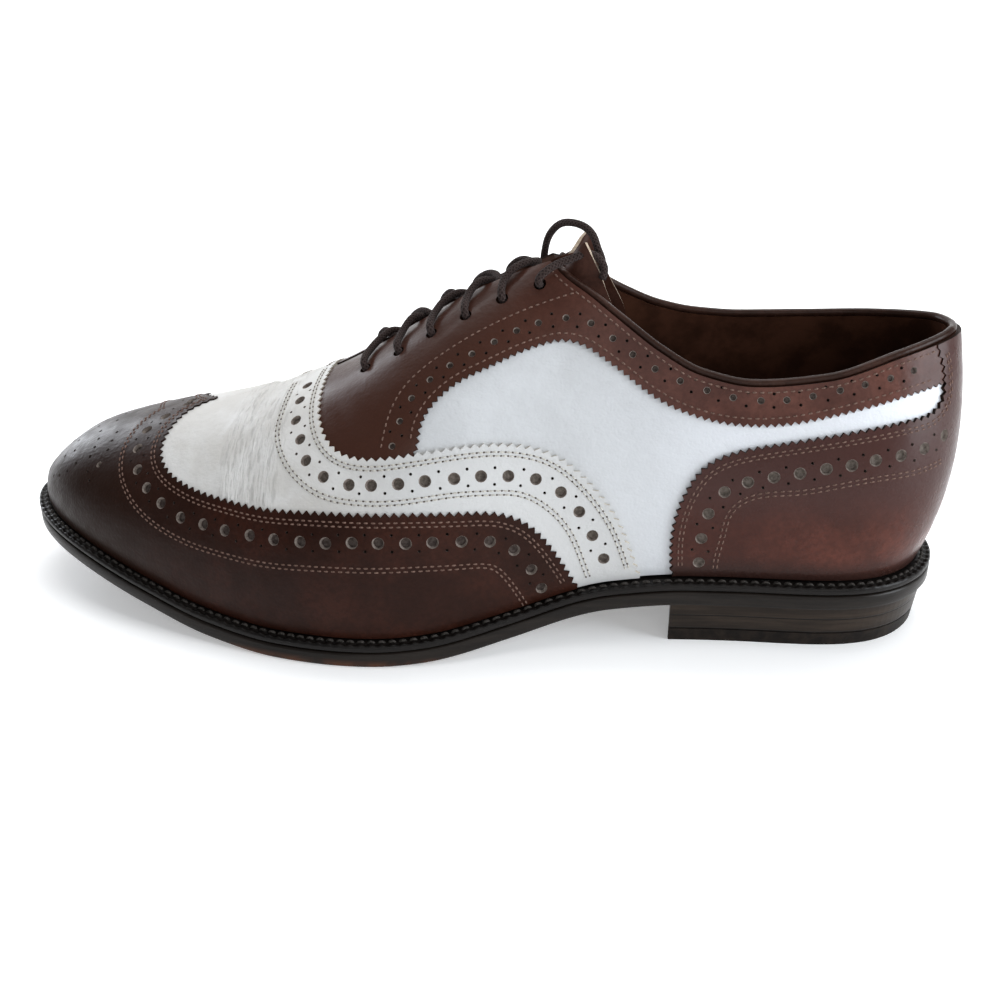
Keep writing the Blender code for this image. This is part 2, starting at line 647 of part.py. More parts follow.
def bridge_halves(piece):
    """Join the two halves of a piece along the ridge, where they lie apart."""
    work = bmesh.new()
    work.from_mesh(piece.data)
    edges = [edge for edge in work.edges if edge.is_boundary
             and all(abs(v.co.y) < 0.1 * LAST_WIDTH for v in edge.verts)]
    bmesh.ops.bridge_loops(work, edges=edges)
    bmesh.ops.recalc_face_normals(work, faces=work.faces)
    work.to_mesh(piece.data)
    work.free()


# lacing

def add_tube(name, points, radius, colour, roughness, collection):
    curve = bpy.data.curves.new(name, "CURVE")
    curve.dimensions = "3D"
    curve.bevel_depth = radius
    curve.bevel_resolution = 2
    curve.use_fill_caps = True
    line = curve.splines.new("POLY")
    line.points.add(len(points) - 1)
    for spot, point in zip(line.points, points):
        spot.co = (*map(float, point), 1.0)
    curve.materials.append(material(name, colour, roughness))
    tube = bpy.data.objects.new(name, curve)
    collection.objects.link(tube)
    return tube


def smooth_route(knots, count):
    """Evenly counted points on a smooth curve through the knots."""
    knots = np.asarray(knots, float)
    reach = np.concatenate([[0], np.cumsum(np.linalg.norm(np.diff(knots, axis=0), axis=1))])
    spots = np.linspace(0, reach[-1], count)
    return np.stack([natural(reach, knots[:, axis], spots) for axis in range(3)], -1)


def add_lace_bars(parts):
    """Over each pair of eyelets but the top one, the lace leaves both holes and meets over the gap."""
    for number, (mark, after) in enumerate(zip(EYELETS, EYELETS[1:]), start=1):
        t, t_after = float(turn(mark.along)), float(turn(after.along))
        halves = {}
        for side in (1, -1):
            edge_t = 0.7 * t + 0.3 * t_after
            edge_up = float(rim([edge_t], side)[0])
            middle_up = (mark.up + edge_up) / 2
            halves[side] = [skin(t, mark.up, side, LACE_LIFT), skin(t, middle_up, side, LACE_LIFT),
                            skin(edge_t, edge_up, side, LACE_LIFT)]
        meeting = (halves[1][2] + halves[-1][2]) / 2
        meeting[0] -= 0.4 * np.linalg.norm(halves[1][2] - halves[-1][2])
        knots = halves[1] + [meeting] + halves[-1][::-1]
        add_tube(f"lace_bar_{number}", smooth_route(knots, 11), LACE / 2, DARK_BROWN, 0.8, parts)


# free routes of the lace's two ends, after the top eyelets: over the tongue's end and down behind it
LACE_ENDS = {
    "lace_end_outer": (1, [
        (0.0787, 0.0112, 0.1109), (0.0759, 0.0105, 0.1118), (0.0730, 0.0098, 0.1128),
        (0.0705, 0.0095, 0.1131), (0.0678, 0.0098, 0.1119), (0.0661, 0.0105, 0.1090),
        (0.0667, 0.0115, 0.1063)]),
    "lace_end_inner": (-1, [
        (0.0846, -0.0110, 0.1110), (0.0828, -0.0080, 0.1160), (0.0800, -0.0055, 0.1190),
        (0.0765, -0.0025, 0.1200), (0.0722, 0.0005, 0.1192), (0.0695, 0.0030, 0.1168),
        (0.0681, 0.0050, 0.1135), (0.0668, 0.0058, 0.1101), (0.0671, 0.0060, 0.1070)])}


def add_lace_ends(parts):
    """Each end starts on the facing at its top eyelet."""
    top = EYELETS[-1]
    for name, (side, free) in LACE_ENDS.items():
        knots = [skin(turn(top.along), top.up, side, LACE_LIFT), *free]
        add_tube(name, smooth_route(knots, 10), LACE / 2, DARK_BROWN, 0.8, parts)


def main():
    for old in list(bpy.data.objects):
        bpy.data.objects.remove(old)
    scene = bpy.context.scene
    parts = bpy.data.collections.new(OBJECT)
    cutters = bpy.data.collections.new("cutters")
    scene.collection.children.link(parts)
    scene.collection.children.link(cutters)
    add_outsole(parts)
    add_welt(parts)
    add_heel(parts, cutters)
    add_insole(parts)
    add_upper(parts)
    add_overlays(parts)
    add_binding(parts)
    add_tongue(parts)
    add_lace_bars(parts)
    add_lace_ends(parts)


main()
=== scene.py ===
# Looks of the spectator shoe: leathers, perforations, stitches, laces, light and camera.
# Metres. +X runs from heel to toe, +Y to the outer side, +Z up, and the origin is under the heel's centre.
import json
import math
from collections import namedtuple
from contextlib import contextmanager

import bmesh
import bpy
import numpy as np
from mathutils import Matrix, Vector
from mathutils.geometry import delaunay_2d_cdt
from mathutils.kdtree import KDTree

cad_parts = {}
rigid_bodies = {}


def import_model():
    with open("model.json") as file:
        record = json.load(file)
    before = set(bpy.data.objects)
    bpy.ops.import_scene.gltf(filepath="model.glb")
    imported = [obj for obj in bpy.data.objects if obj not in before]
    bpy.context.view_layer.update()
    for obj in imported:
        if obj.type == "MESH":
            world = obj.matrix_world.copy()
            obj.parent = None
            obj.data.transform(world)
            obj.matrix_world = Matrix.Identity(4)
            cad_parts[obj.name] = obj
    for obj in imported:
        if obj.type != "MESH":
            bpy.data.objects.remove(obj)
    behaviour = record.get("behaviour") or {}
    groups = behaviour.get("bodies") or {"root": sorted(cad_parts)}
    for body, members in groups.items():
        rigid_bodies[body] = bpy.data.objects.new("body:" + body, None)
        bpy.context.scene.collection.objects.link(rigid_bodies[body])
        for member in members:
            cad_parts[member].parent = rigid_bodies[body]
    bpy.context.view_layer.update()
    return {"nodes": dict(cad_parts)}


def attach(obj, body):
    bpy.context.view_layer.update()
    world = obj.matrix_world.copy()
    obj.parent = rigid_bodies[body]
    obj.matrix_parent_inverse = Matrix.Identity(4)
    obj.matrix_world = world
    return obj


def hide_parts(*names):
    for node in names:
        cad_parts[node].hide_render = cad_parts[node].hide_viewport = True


# camera, as the photograph was taken
CAMERA_AT = (0.06443, 0.3114, 0.17225)
CAMERA_PITCH = 0.4084          # looks down by this angle
CAMERA_YAW = -0.108
CAMERA_ROLL = -0.009
CAMERA_LENS = 37.31            # millimetres on a 36 mm wide picture
CAMERA_SHIFT = -0.01974

# driving dimensions of the last, as the solids have them
LAST_LENGTH = 0.2925
LAST_WIDTH = 0.096
INSTEP = 0.100
LAST_BACK = -0.0355

# sole
SOLE_MARGIN = 0.0045
HEEL_RISE = 0.0137
OUTSOLE = 0.0046
WELT = 0.0026
WELT_WIDTH = 0.0105
GAP = 0.0003                   # between the parts of the sole
SEAT_CLEAR = 0.0002            # the last clears the welt by this much more than the gap
RIB_PITCH = 0.0032             # wheel marks along the welt
RIB_STEPS = 8
RIB_DEPTH = 0.00060
WELT_ROW = 0.0019              # the welt's stitches lie this far outside the last

# leathers: top and bottom of each layer over the last's surface
Layer = namedtuple("Layer", "top bottom")
QUARTER = Layer(-0.0006, -0.0030)
FACING = Layer(0.0001, -0.00065)
COUNTER = Layer(0.0005, -0.00065)
VAMP = Layer(0.00055, -0.00065)
WING = Layer(0.0011, -0.0001)
LAP = 0.0030                   # how far a leather runs on under the one that laps it
WING_PAST = 0.012              # the vamp runs on by this much t under the wing at the ridge
HIDDEN_PITCH = 0.0020          # spacing of the points on edges that lie under other leathers
NET = 0.0020                   # spacing of the points on a leather
FINE_NET = 0.0011
Gimp = namedtuple("Gimp", "pitch depth")
WING_GIMP = Gimp(0.0026, 0.0014)
VAMP_GIMP = Gimp(0.0027, 0.0012)
FACING_GIMP = Gimp(0.0022, 0.0011)
COUNTER_GIMP = Gimp(0.0024, 0.0012)

# folded binding of the topline
BINDING_RADIUS = 0.0012
BINDING_LIFT = 0.0010          # the binding's middle over the rim
BINDING_SIDES = 14
BINDING_CORNER = 0.417         # place along the last where it ends

# perforations and stitches
HOLE = 0.0018                  # radius of the large perforations
SMALL_HOLE = 0.00105           # of those on the facings
PIN = 0.00048                  # of the pinholes
PIN_SPREAD = 0.0024            # pinholes stand this far on both sides of the row
SMALL_SPREAD = 0.0019
MEDALLION_HOLE = 0.0011
MEDALLION_PIN = 0.0006
HOLE_SIDES = 14
PIN_SIDES = 7
MEDALLION_SIDES = 12
HOLE_DEPTH = 0.0012
PIN_DEPTH = 0.0006
HOLE_FLOOR = 0.80              # a hole narrows to this share of its width
HOLE_LIP = 0.04                # its wall starts this share outside its edge
SKIN_CLEAR = 0.00008           # least height of a hole's floor over the leather below
STITCH = 0.0021                # pitch
STITCH_LENGTH = 0.0015
THREAD = 0.00026               # radius
NEEDLE_HOLE = 0.0008
NEEDLE_PLACE = 0.5             # a needle hole's place between two stitches
WELT_STITCH = 0.0032
WELT_THREAD = 0.00050
WELT_STITCH_SINK = 0.0002      # the thread's middle under the welt's top
WELT_STITCH_HALF = 0.40        # half its length, of the pitch

# rows of stitches: how far each lies to the left of the edge that it follows
WING_ROWS = (-0.0022, -0.0034, -0.0150, -0.0162)
VAMP_ROWS = (-0.0020, -0.0031)
COUNTER_ROWS = (0.0020, 0.0031)
TWIN_ROWS = (-0.0006, 0.0006)
FACING_EDGE_ROW = -0.0021
FACING_TOP_ROW = -0.0015
FACING_TOP_FROM = 0.13         # the t where the top row starts

# tongue
TONGUE = 0.0011                # thickness
TONGUE_SINK = 0.0042           # its outer face lies this far under the last's surface
TONGUE_LIFT = 0.0070           # and its top end stands up by this much
LIFT_FROM = 0.415              # places along the last where the lift starts and is full
LIFT_TO = 0.385
LIFT_MIDDLE = 0.86             # how far up the rib it starts
TONGUE_END_HALF = 0.06         # half width of the tongue's end where its two sides join, of LAST_WIDTH

# lacing
LACE = 0.0023
LACE_LIFT = 0.0019             # the lace's middle over the last where it lies on a facing
EYELET_RADIUS = 0.0019
LACE_SIDES = 12
LACE_DIVE = 0.0012             # the lace's hidden end lies this far under the last's surface
CROSSING_RISE = 0.35           # one strand passes this far over the middle, the other under it, of LACE
CROSSING_BACK = 0.4            # the strands cross this far towards the heel, of the gap between the facings

SIDES = (1, -1)                # outer and inner
STEP = 1e-3                    # for slopes along and up the last
WELD_REACH = 2e-5

Under = namedtuple("Under", "along height")
UNDER = [Under(*row) for row in (
    (0.00, 1.00), (0.10, 1.00), (0.25, 1.00), (0.33, 0.88), (0.43, 0.38), (0.52, 0.05), (0.57, 0.00),
    (0.67, 0.00), (0.75, 0.16), (0.83, 0.56), (0.93, 1.10), (1.02, 1.45))]

# one row for each rib of the last, from heel to toe; lengths are shares of these sizes:
# along and ridge_at of LAST_LENGTH, ridge_height of INSTEP, centre, half, ridge_centre, ridge_half, bulge
# and lean of LAST_WIDTH, rise and drop of the rib's height, spread of its width
Rib = namedtuple("Rib", "along centre half ridge_at ridge_height ridge_centre ridge_half "
                        "bulge rise spread lean drop")
RIBS = [Rib(*row) for row in (
    (0.00, 0.000, 0.000, 0.002, 1.050, 0.000, 0.000, 0.110, 0.36, 0.00, 0.075, 0.34),
    (0.02, 0.000, 0.185, 0.014, 1.050, 0.000, 0.095, 0.105, 0.36, 0.00, 0.065, 0.34),
    (0.05, 0.000, 0.272, 0.040, 1.050, 0.000, 0.150, 0.090, 0.36, 0.00, 0.055, 0.34),
    (0.10, 0.000, 0.323, 0.085, 1.060, 0.000, 0.200, 0.065, 0.38, 0.05, 0.040, 0.34),
    (0.20, 0.000, 0.330, 0.180, 1.100, 0.000, 0.215, 0.045, 0.40, 0.15, 0.020, 0.34),
    (0.30, 0.025, 0.322, 0.280, 1.170, 0.000, 0.165, 0.035, 0.42, 0.25, 0.000, 0.28),
    (0.40, 0.062, 0.338, 0.378, 1.140, 0.000, 0.080, 0.035, 0.44, 0.42, 0.000, 0.16),
    (0.50, 0.090, 0.425, 0.483, 1.005, 0.000, 0.020, 0.045, 0.48, 0.58, 0.000, 0.03),
    (0.60, 0.070, 0.488, 0.588, 0.820, -0.004, 0.000, 0.050, 0.52, 0.62, 0.000, 0.00),
    (0.70, 0.014, 0.491, 0.693, 0.680, -0.012, 0.000, 0.045, 0.55, 0.62, 0.000, 0.00),
    (0.80, -0.044, 0.448, 0.793, 0.600, -0.035, 0.000, 0.035, 0.58, 0.60, 0.000, 0.00),
    (0.90, -0.082, 0.350, 0.891, 0.525, -0.070, 0.000, 0.025, 0.62, 0.58, 0.000, 0.00),
    (0.95, -0.095, 0.258, 0.942, 0.468, -0.087, 0.000, 0.015, 0.64, 0.56, 0.000, 0.00),
    (0.98, -0.105, 0.170, 0.974, 0.402, -0.098, 0.000, 0.010, 0.64, 0.56, 0.000, 0.00),
    (1.00, -0.110, 0.000, 0.985, 0.345, -0.105, 0.000, 0.000, 0.60, 0.55, 0.040, 0.20))]

Top = namedtuple("Top", "along outer inner")
TOPLINE = [Top(*row) for row in (
    (0.00, 0.916, 0.916), (0.06, 0.875, 0.900), (0.13, 0.815, 0.885), (0.20, 0.795, 0.880),
    (0.25, 0.822, 0.892), (0.29, 0.881, 0.920), (0.33, 0.962, 0.974), (0.36, 1.024, 1.027),
    (0.39, 1.078, 1.080), (0.50, 1.450, 1.450))]

Slit = namedtuple("Slit", "along half")
THROAT = [Slit(*row) for row in (
    (0.30, 0.094), (0.38, 0.083), (0.50, 0.042), (0.60, 0.021), (0.655, 0.016))]
THROAT_FROM = 0.30
THROAT_END = 0.655
THROAT_STEP = 0.002            # the slit closes within this much t on both sides of its end

# runs on one side: along the last's length, and up the rib from feather (0) to ridge (1)
Mark = namedtuple("Mark", "along up")


def marks(*rows):
    return [Mark(*row) for row in rows]


WING_EDGE = marks(
    (0.365, 0.000), (0.382, 0.080), (0.400, 0.150), (0.422, 0.210), (0.450, 0.250), (0.480, 0.272),
    (0.520, 0.297), (0.575, 0.330), (0.630, 0.363), (0.680, 0.388), (0.725, 0.418), (0.755, 0.440),
    (0.780, 0.470), (0.797, 0.505), (0.814, 0.585), (0.819, 0.660), (0.817, 0.800), (0.808, 0.910),
    (0.785, 1.000))
VAMP_EDGE = marks(
    (0.301, 0.000), (0.310, 0.062), (0.323, 0.144), (0.341, 0.218), (0.361, 0.280), (0.385, 0.338),
    (0.409, 0.376), (0.442, 0.406), (0.475, 0.424), (0.507, 0.437), (0.545, 0.454), (0.565, 0.466),
    (0.585, 0.486), (0.605, 0.522), (0.622, 0.584), (0.634, 0.668), (0.641, 0.764), (0.645, 0.874),
    (0.648, 1.000))
FACING_EDGE = marks(
    (0.545, 0.430), (0.530, 0.449), (0.527, 0.506), (0.520, 0.554), (0.508, 0.584), (0.489, 0.606),
    (0.466, 0.620), (0.440, 0.642), (0.418, 0.658), (0.397, 0.664), (0.379, 0.650), (0.358, 0.615),
    (0.333, 0.570), (0.310, 0.530), (0.290, 0.506), (0.270, 0.493), (0.244, 0.490), (0.208, 0.506),
    (0.173, 0.536), (0.137, 0.576), (0.090, 0.630), (0.058, 0.668), (0.025, 0.694))
COUNTER_EDGE = marks(
    (0.268, 0.000), (0.271, 0.088), (0.269, 0.182), (0.261, 0.262), (0.248, 0.335), (0.226, 0.394),
    (0.192, 0.446), (0.158, 0.484), (0.122, 0.518), (0.088, 0.548), (0.058, 0.574), (0.038, 0.600),
    (0.031, 0.645), (0.031, 0.690), (0.033, 0.750), (0.039, 0.810), (0.042, 0.880))
EYELETS = marks(
    (0.598, 0.824), (0.563, 0.816), (0.530, 0.818), (0.497, 0.826), (0.463, 0.843), (0.428, 0.866))
TONGUE_EDGE = marks(
    (0.386, 1.000), (0.378, 0.930), (0.367, 0.850), (0.354, 0.770), (0.342, 0.700), (0.338, 0.630),
    (0.350, 0.580), (0.375, 0.570), (0.420, 0.610), (0.480, 0.650), (0.560, 0.680), (0.640, 0.720),
    (0.680, 0.760), (0.690, 0.860), (0.692, 1.000))

# centres of the perforations
WING_HOLES = marks(
    (0.820, 0.978), (0.836, 0.864), (0.849, 0.760), (0.849, 0.630), (0.839, 0.508), (0.822, 0.424),
    (0.801, 0.370), (0.775, 0.330), (0.747, 0.322), (0.721, 0.312), (0.692, 0.304), (0.665, 0.292),
    (0.637, 0.282), (0.611, 0.272), (0.585, 0.264), (0.560, 0.252), (0.534, 0.238), (0.509, 0.226),
    (0.482, 0.210), (0.455, 0.190), (0.431, 0.152), (0.413, 0.090), (0.402, 0.032))
VAMP_HOLES = marks(
    (0.665, 0.880), (0.665, 0.794), (0.661, 0.696), (0.650, 0.610), (0.639, 0.528), (0.618, 0.462),
    (0.591, 0.420), (0.569, 0.402), (0.543, 0.386), (0.518, 0.374), (0.491, 0.360), (0.466, 0.348),
    (0.440, 0.332), (0.413, 0.310), (0.387, 0.264), (0.367, 0.204), (0.352, 0.134), (0.339, 0.066))
FACING_HOLES = marks(
    (0.552, 0.490), (0.547, 0.552), (0.538, 0.606), (0.522, 0.640), (0.504, 0.660), (0.484, 0.672),
    (0.464, 0.690), (0.444, 0.710), (0.424, 0.724), (0.398, 0.732), (0.373, 0.714), (0.350, 0.672),
    (0.329, 0.632), (0.306, 0.602), (0.281, 0.584), (0.255, 0.578), (0.230, 0.580), (0.204, 0.594),
    (0.180, 0.614), (0.156, 0.640), (0.131, 0.668), (0.108, 0.692), (0.084, 0.716), (0.062, 0.742))
MEDALLION_HOLES = marks((0.894, 0.512), (0.963, 0.842))
MEDALLION_PINS = marks(
    (0.936, 0.932), (0.921, 0.814), (0.914, 0.722), (0.912, 0.642), (0.912, 0.564), (0.891, 0.692),
    (0.890, 0.618), (0.892, 0.768), (0.911, 0.940), (0.908, 0.454), (0.902, 0.398), (0.943, 0.628),
    (0.957, 0.590), (0.978, 0.748), (0.954, 0.380), (0.967, 0.370), (0.941, 0.432), (0.930, 0.500),
    (0.987, 0.460), (0.949, 0.766))
COUNTER_HOLES = marks(
    (0.242, 0.044), (0.242, 0.120), (0.238, 0.200), (0.225, 0.276), (0.204, 0.320), (0.180, 0.350),
    (0.156, 0.374), (0.132, 0.398), (0.109, 0.416), (0.088, 0.438), (0.066, 0.456), (0.046, 0.474),
    (0.028, 0.504))

# rows of stitches that follow no edge
VAMP_ROW = marks(
    (0.686, 1.000), (0.684, 0.880), (0.682, 0.772), (0.680, 0.678), (0.667, 0.564), (0.644, 0.468),
    (0.616, 0.404), (0.587, 0.370), (0.538, 0.338), (0.491, 0.322), (0.455, 0.302), (0.426, 0.280),
    (0.402, 0.238), (0.378, 0.166), (0.363, 0.084), (0.352, 0.008))
FACING_ROW = marks(
    (0.389, 0.818), (0.471, 0.748), (0.518, 0.704), (0.549, 0.648), (0.560, 0.568), (0.563, 0.492))
COUNTER_ROW = marks(
    (0.225, 0.004), (0.225, 0.060), (0.221, 0.140), (0.219, 0.192), (0.210, 0.244), (0.192, 0.280),
    (0.154, 0.308), (0.118, 0.342), (0.084, 0.374), (0.049, 0.396), (0.023, 0.418))

# corners of the outsole's edge: out from its margin, and height over its underside
EDGE_ROUND = 0.0008
OUTSOLE_SECTION = (
    (-EDGE_ROUND, 0.0), (-0.0003, 0.00015), (0.0, 0.0007),
    (0.0, OUTSOLE - 0.0007), (-0.0003, OUTSOLE - 0.0002), (-EDGE_ROUND, OUTSOLE))

# corners of the welt: in from its edge, height over its foot, and the share of the wheel marks' depth there
Corner = namedtuple("Corner", "inset height dip")
WELT_SECTION = [Corner(*row) for row in (
    (WELT_WIDTH, 0.0, 0.0), (0.0005, 0.0, 0.0), (0.0001, 0.0004, 0.0), (0.0, 0.0011, 0.0),
    (0.0001, WELT - 0.0007, 0.0), (0.0005, WELT - 0.0002, 0.4), (0.0009, WELT - 0.0001, 1.0),
    (0.0014, WELT - 0.0003, 1.0), (0.0018, WELT - 0.0003, 0.6), (0.0034, WELT - 0.0003, 0.0),
    (0.0040, WELT - 0.0004, 0.0), (WELT_WIDTH, WELT - 0.0004, 0.0))]

PORE_DEPTH = 0.00006           # of the calf leathers
HEEL_LIFT = 0.0047             # height of one leather lift of the heel

# fine wrinkles of the vamp lie between these places along X
VAMP_BEND = (0.156, 0.183)
WRINKLE_DEPTH = 0.0010

# soft creases where the vamp bends, from low to high on each side
Crease = namedtuple("Crease", "along lean low high depth width")
CREASES = [Crease(*row) for row in (
    (0.700, 0.010, 0.44, 1.04, 0.00045, 0.0013), (0.712, 0.006, 0.42, 1.04, 0.00055, 0.0014),
    (0.724, -0.004, 0.45, 1.04, 0.00050, 0.0013), (0.736, -0.010, 0.50, 1.04, 0.00035, 0.0012),
    (0.690, 0.016, 0.55, 1.04, 0.00030, 0.0012), (0.771, 0.012, 0.50, 0.72, 0.00030, 0.0012),
    (0.779, 0.008, 0.54, 0.70, 0.00025, 0.0011))]


# curves through the tables

def natural(knots, values, x):
    """Natural cubic spline through (knots, values)."""
    knots, values, x = (np.asarray(v, float) for v in (knots, values, x))
    count, step = len(knots), np.diff(knots)
    matrix, right = np.eye(count), np.zeros(count)
    for i in range(1, count - 1):
        matrix[i, i - 1:i + 2] = step[i - 1], 2 * (step[i - 1] + step[i]), step[i]
        right[i] = 6 * ((values[i + 1] - values[i]) / step[i] - (values[i] - values[i - 1]) / step[i - 1])
    bend = np.linalg.solve(matrix, right)
    k = np.clip(np.searchsorted(knots, x) - 1, 0, count - 2)
    a = (knots[k + 1] - x) / step[k]
    b = 1 - a
    curved = ((a ** 3 - a) * bend[k] + (b ** 3 - b) * bend[k + 1]) * step[k] ** 2 / 6
    return a * values[k] + b * values[k + 1] + curved


def steady(knots, values, x):
    """Cubic curve through (knots, values) that never overshoots them."""
    knots, values = np.asarray(knots, float), np.asarray(values, float)
    step = np.diff(knots)
    rate = np.diff(values) / step
    slope = np.zeros(len(knots))
    slope[0], slope[-1] = rate[0], rate[-1]
    for i in range(1, len(knots) - 1):
        if rate[i - 1] * rate[i] > 0:
            before, after = 2 * step[i] + step[i - 1], step[i] + 2 * step[i - 1]
            slope[i] = (before + after) / (before / rate[i - 1] + after / rate[i])
    x = np.clip(x, knots[0], knots[-1])
    k = np.clip(np.searchsorted(knots, x) - 1, 0, len(knots) - 2)
    q = (x - knots[k]) / step[k]
    return ((1 + 2 * q) * (1 - q) ** 2 * values[k] + q * (1 - q) ** 2 * step[k] * slope[k]
            + q * q * (3 - 2 * q) * values[k + 1] + q * q * (q - 1) * step[k] * slope[k + 1])


def turn(along):
    """Parameter that crowds the ribs at heel and toe."""
    return np.arccos(1 - 2 * np.clip(np.asarray(along, float), 0, 1)) / math.pi


def share(t):
    return (1 - np.cos(math.pi * np.asarray(t, float))) / 2


RIB_TURNS = turn([rib.along for rib in RIBS])


def rib(column, t):
    return natural(RIB_TURNS, [getattr(row, column) for row in RIBS], t)


def table(rows, column, along):
    return steady([row.along for row in rows], [getattr(row, column) for row in rows], along)


def ease(x):
    x = np.clip(x, 0, 1)
    return x * x * (3 - 2 * x)


def unit(vectors):
    return vectors / np.linalg.norm(vectors, axis=-1, keepdims=True)


def raised(plan_spots, height):
    return np.concatenate([plan_spots, height[..., None]], -1)


# the last

def underside(x):
    """Height of the outsole's underside over the floor."""
    return HEEL_RISE * table(UNDER, "height", (x - LAST_BACK) / LAST_LENGTH)


def feather_height(x):
    return underside(x) + OUTSOLE + WELT + 2 * GAP + SEAT_CLEAR


def plan(t, side, margin=0.0):
    """Outline of the last seen from above, moved out by margin, and its outward direction."""
    t = np.asarray(t, float)

    def outline(q):
        across = LAST_WIDTH * (rib("centre", q) + side * rib("half", q))
        return np.stack([LAST_BACK + LAST_LENGTH * share(q), across], -1)

    along = outline(np.minimum(t + STEP, 1)) - outline(np.maximum(t - STEP, 0))
    out = np.stack([-along[..., 1], along[..., 0]], -1) * side
    out = np.where(t[..., None] < 1e-9, np.array([-1.0, 0.0]), out)
    out = np.where(t[..., None] > 1 - 1e-9, np.array([1.0, 0.0]), out)
    out = unit(out)
    return outline(t) + out * margin, out


def last(t, up, side):
    """Point of the last: t from heel to toe, up from feather to ridge."""
    t, up = np.broadcast_arrays(np.asarray(t, float), np.asarray(up, float))
    foot, out = plan(t, side)
    low = raised(foot, feather_height(foot[..., 0]))
    across = LAST_WIDTH * (rib("ridge_centre", t) + side * np.maximum(rib("ridge_half", t), 0))
    ahead = LAST_BACK + LAST_LENGTH * rib("ridge_at", t)
    high = np.stack([ahead, across, INSTEP * rib("ridge_height", t)], -1)
    height = (high - low)[..., 2:] * np.array([0, 0, 1.0])
    width = (low - high) * np.array([1.0, 1.0, 0])
    outward = LAST_WIDTH * np.concatenate([out, 0 * out[..., :1]], -1)
    pull = {name: rib(name, t)[..., None] for name in ("bulge", "rise", "spread", "lean", "drop")}
    first = low + outward * pull["bulge"] + height * pull["rise"]
    second = high + width * pull["spread"] + outward * pull["lean"] - height * pull["drop"]
    up = up[..., None]
    return ((1 - up) ** 3 * low + 3 * (1 - up) ** 2 * up * first
            + 3 * (1 - up) * up ** 2 * second + up ** 3 * high)


def skin(t, up, side, offset):
    """The last's surface moved outwards by offset; both sides agree where they meet."""
    t, up = np.broadcast_arrays(np.asarray(t, float), np.asarray(up, float))
    along = (last(np.minimum(t + STEP, 1), up, side) - last(np.maximum(t - STEP, 0), up, side)) * side
    rise = last(t, np.minimum(up + STEP, 1), side) - last(t, np.maximum(up - STEP, 0), side)
    along[t < 1e-6] = (0, 1, 0)
    along[t > 1 - 1e-6] = (0, -1, 0)
    ridge = (up > 1 - 1e-6) & (t > turn(THROAT_END - 0.02)) & (t < 1 - 1e-6)
    rise[ridge] = (0, -side, 0)
    return last(t, up, side) + unit(np.cross(rise, along)) * np.asarray(offset, float)[..., None]


def rim(t, side):
    """How far up each rib the upper reaches: to the topline, to the throat's edge or to the ridge."""
    ups = np.linspace(0, 1, 161)
    points = last(np.asarray(t, float)[:, None], ups[None, :], side)
    along = (points[..., 0] - LAST_BACK) / LAST_LENGTH
    over = points[..., 2] - INSTEP * table(TOPLINE, "outer" if side > 0 else "inner", along)
    centre = LAST_WIDTH * rib("ridge_centre", np.asarray(t, float))[:, None]
    inside_gap = LAST_WIDTH * table(THROAT, "half", along) - side * (points[..., 1] - centre)
    open_rib = (along[:, -1] > THROAT_FROM) & (along[:, -1] < THROAT_END)
    inside_gap = np.where(open_rib[:, None], inside_gap, -1.0)
    reach = np.ones(len(points))
    for i, past in enumerate(np.maximum(over, inside_gap)):
        crossed = np.nonzero(past > 0)[0]
        if len(crossed):
            k = crossed[0]
            reach[i] = np.interp(0.0, past[k - 1:k + 1], ups[k - 1:k + 1])
    return reach


def rim_at(t, side):
    return float(rim([t], side)[0])


# runs of spots in the chart of one side: rows of (t, up)

def spots_at(rows):
    return np.array([(float(turn(mark.along)), mark.up) for mark in rows])


def lengths(points):
    return np.concatenate([[0.0], np.cumsum(np.linalg.norm(np.diff(points, axis=0), axis=1))])


def on_last(run, side):
    return last(run[:, 0], run[:, 1], side)


def on_skin(run, side, offset):
    return skin(run[:, 0], run[:, 1], side, offset)


def paced(run, side, pitch):
    """The same run with its spots at even steps of about pitch over the surface."""
    reach = lengths(on_last(run, side))
    steps = np.linspace(0, reach[-1], max(2, int(round(reach[-1] / pitch)) + 1))
    return np.stack([np.interp(steps, reach, run[:, k]) for k in range(2)], -1)


def trace(rows, side, pitch=0.0005):
    """Spots along the smooth curve through marks."""
    knots = spots_at(rows)
    reach = lengths(on_last(knots, side))
    steps = np.linspace(0, reach[-1], max(2, int(reach[-1] / pitch)))
    return np.stack([natural(reach, knots[:, k], steps) for k in range(2)], -1)


def slopes(run, side):
    """Change of place per unit of t and per unit of up."""
    t, up = run[:, 0], run[:, 1]
    ahead, behind = np.minimum(t + STEP, 1), np.maximum(t - STEP, 0)
    above, below = up + STEP, up - STEP
    per_t = (last(ahead, up, side) - last(behind, up, side)) / (ahead - behind)[:, None]
    per_up = (last(t, above, side) - last(t, below, side)) / (above - below)[:, None]
    return per_t, per_up


def shifted(run, side, shift):
    """Spots after a small shift in space, which is taken over the surface."""
    per_t, per_up = slopes(run, side)
    a, b, c = (per_t * per_t).sum(1), (per_t * per_up).sum(1), (per_up * per_up).sum(1)
    p, q = (per_t * shift).sum(1), (per_up * shift).sum(1)
    change = np.stack([c * p - b * q, a * q - b * p], -1) / (a * c - b * b)[:, None]
    return run + change


def beside(run, side, distance):
    """The run moved to its left over the surface, as the chart is seen with the toe to the right."""
    per_t, per_up = slopes(run, side)
    ahead = np.gradient(on_last(run, side), axis=0)
    left = unit(np.cross(np.cross(per_t, per_up), ahead))
    return shifted(run, side, left * np.broadcast_to(distance, len(run))[:, None])


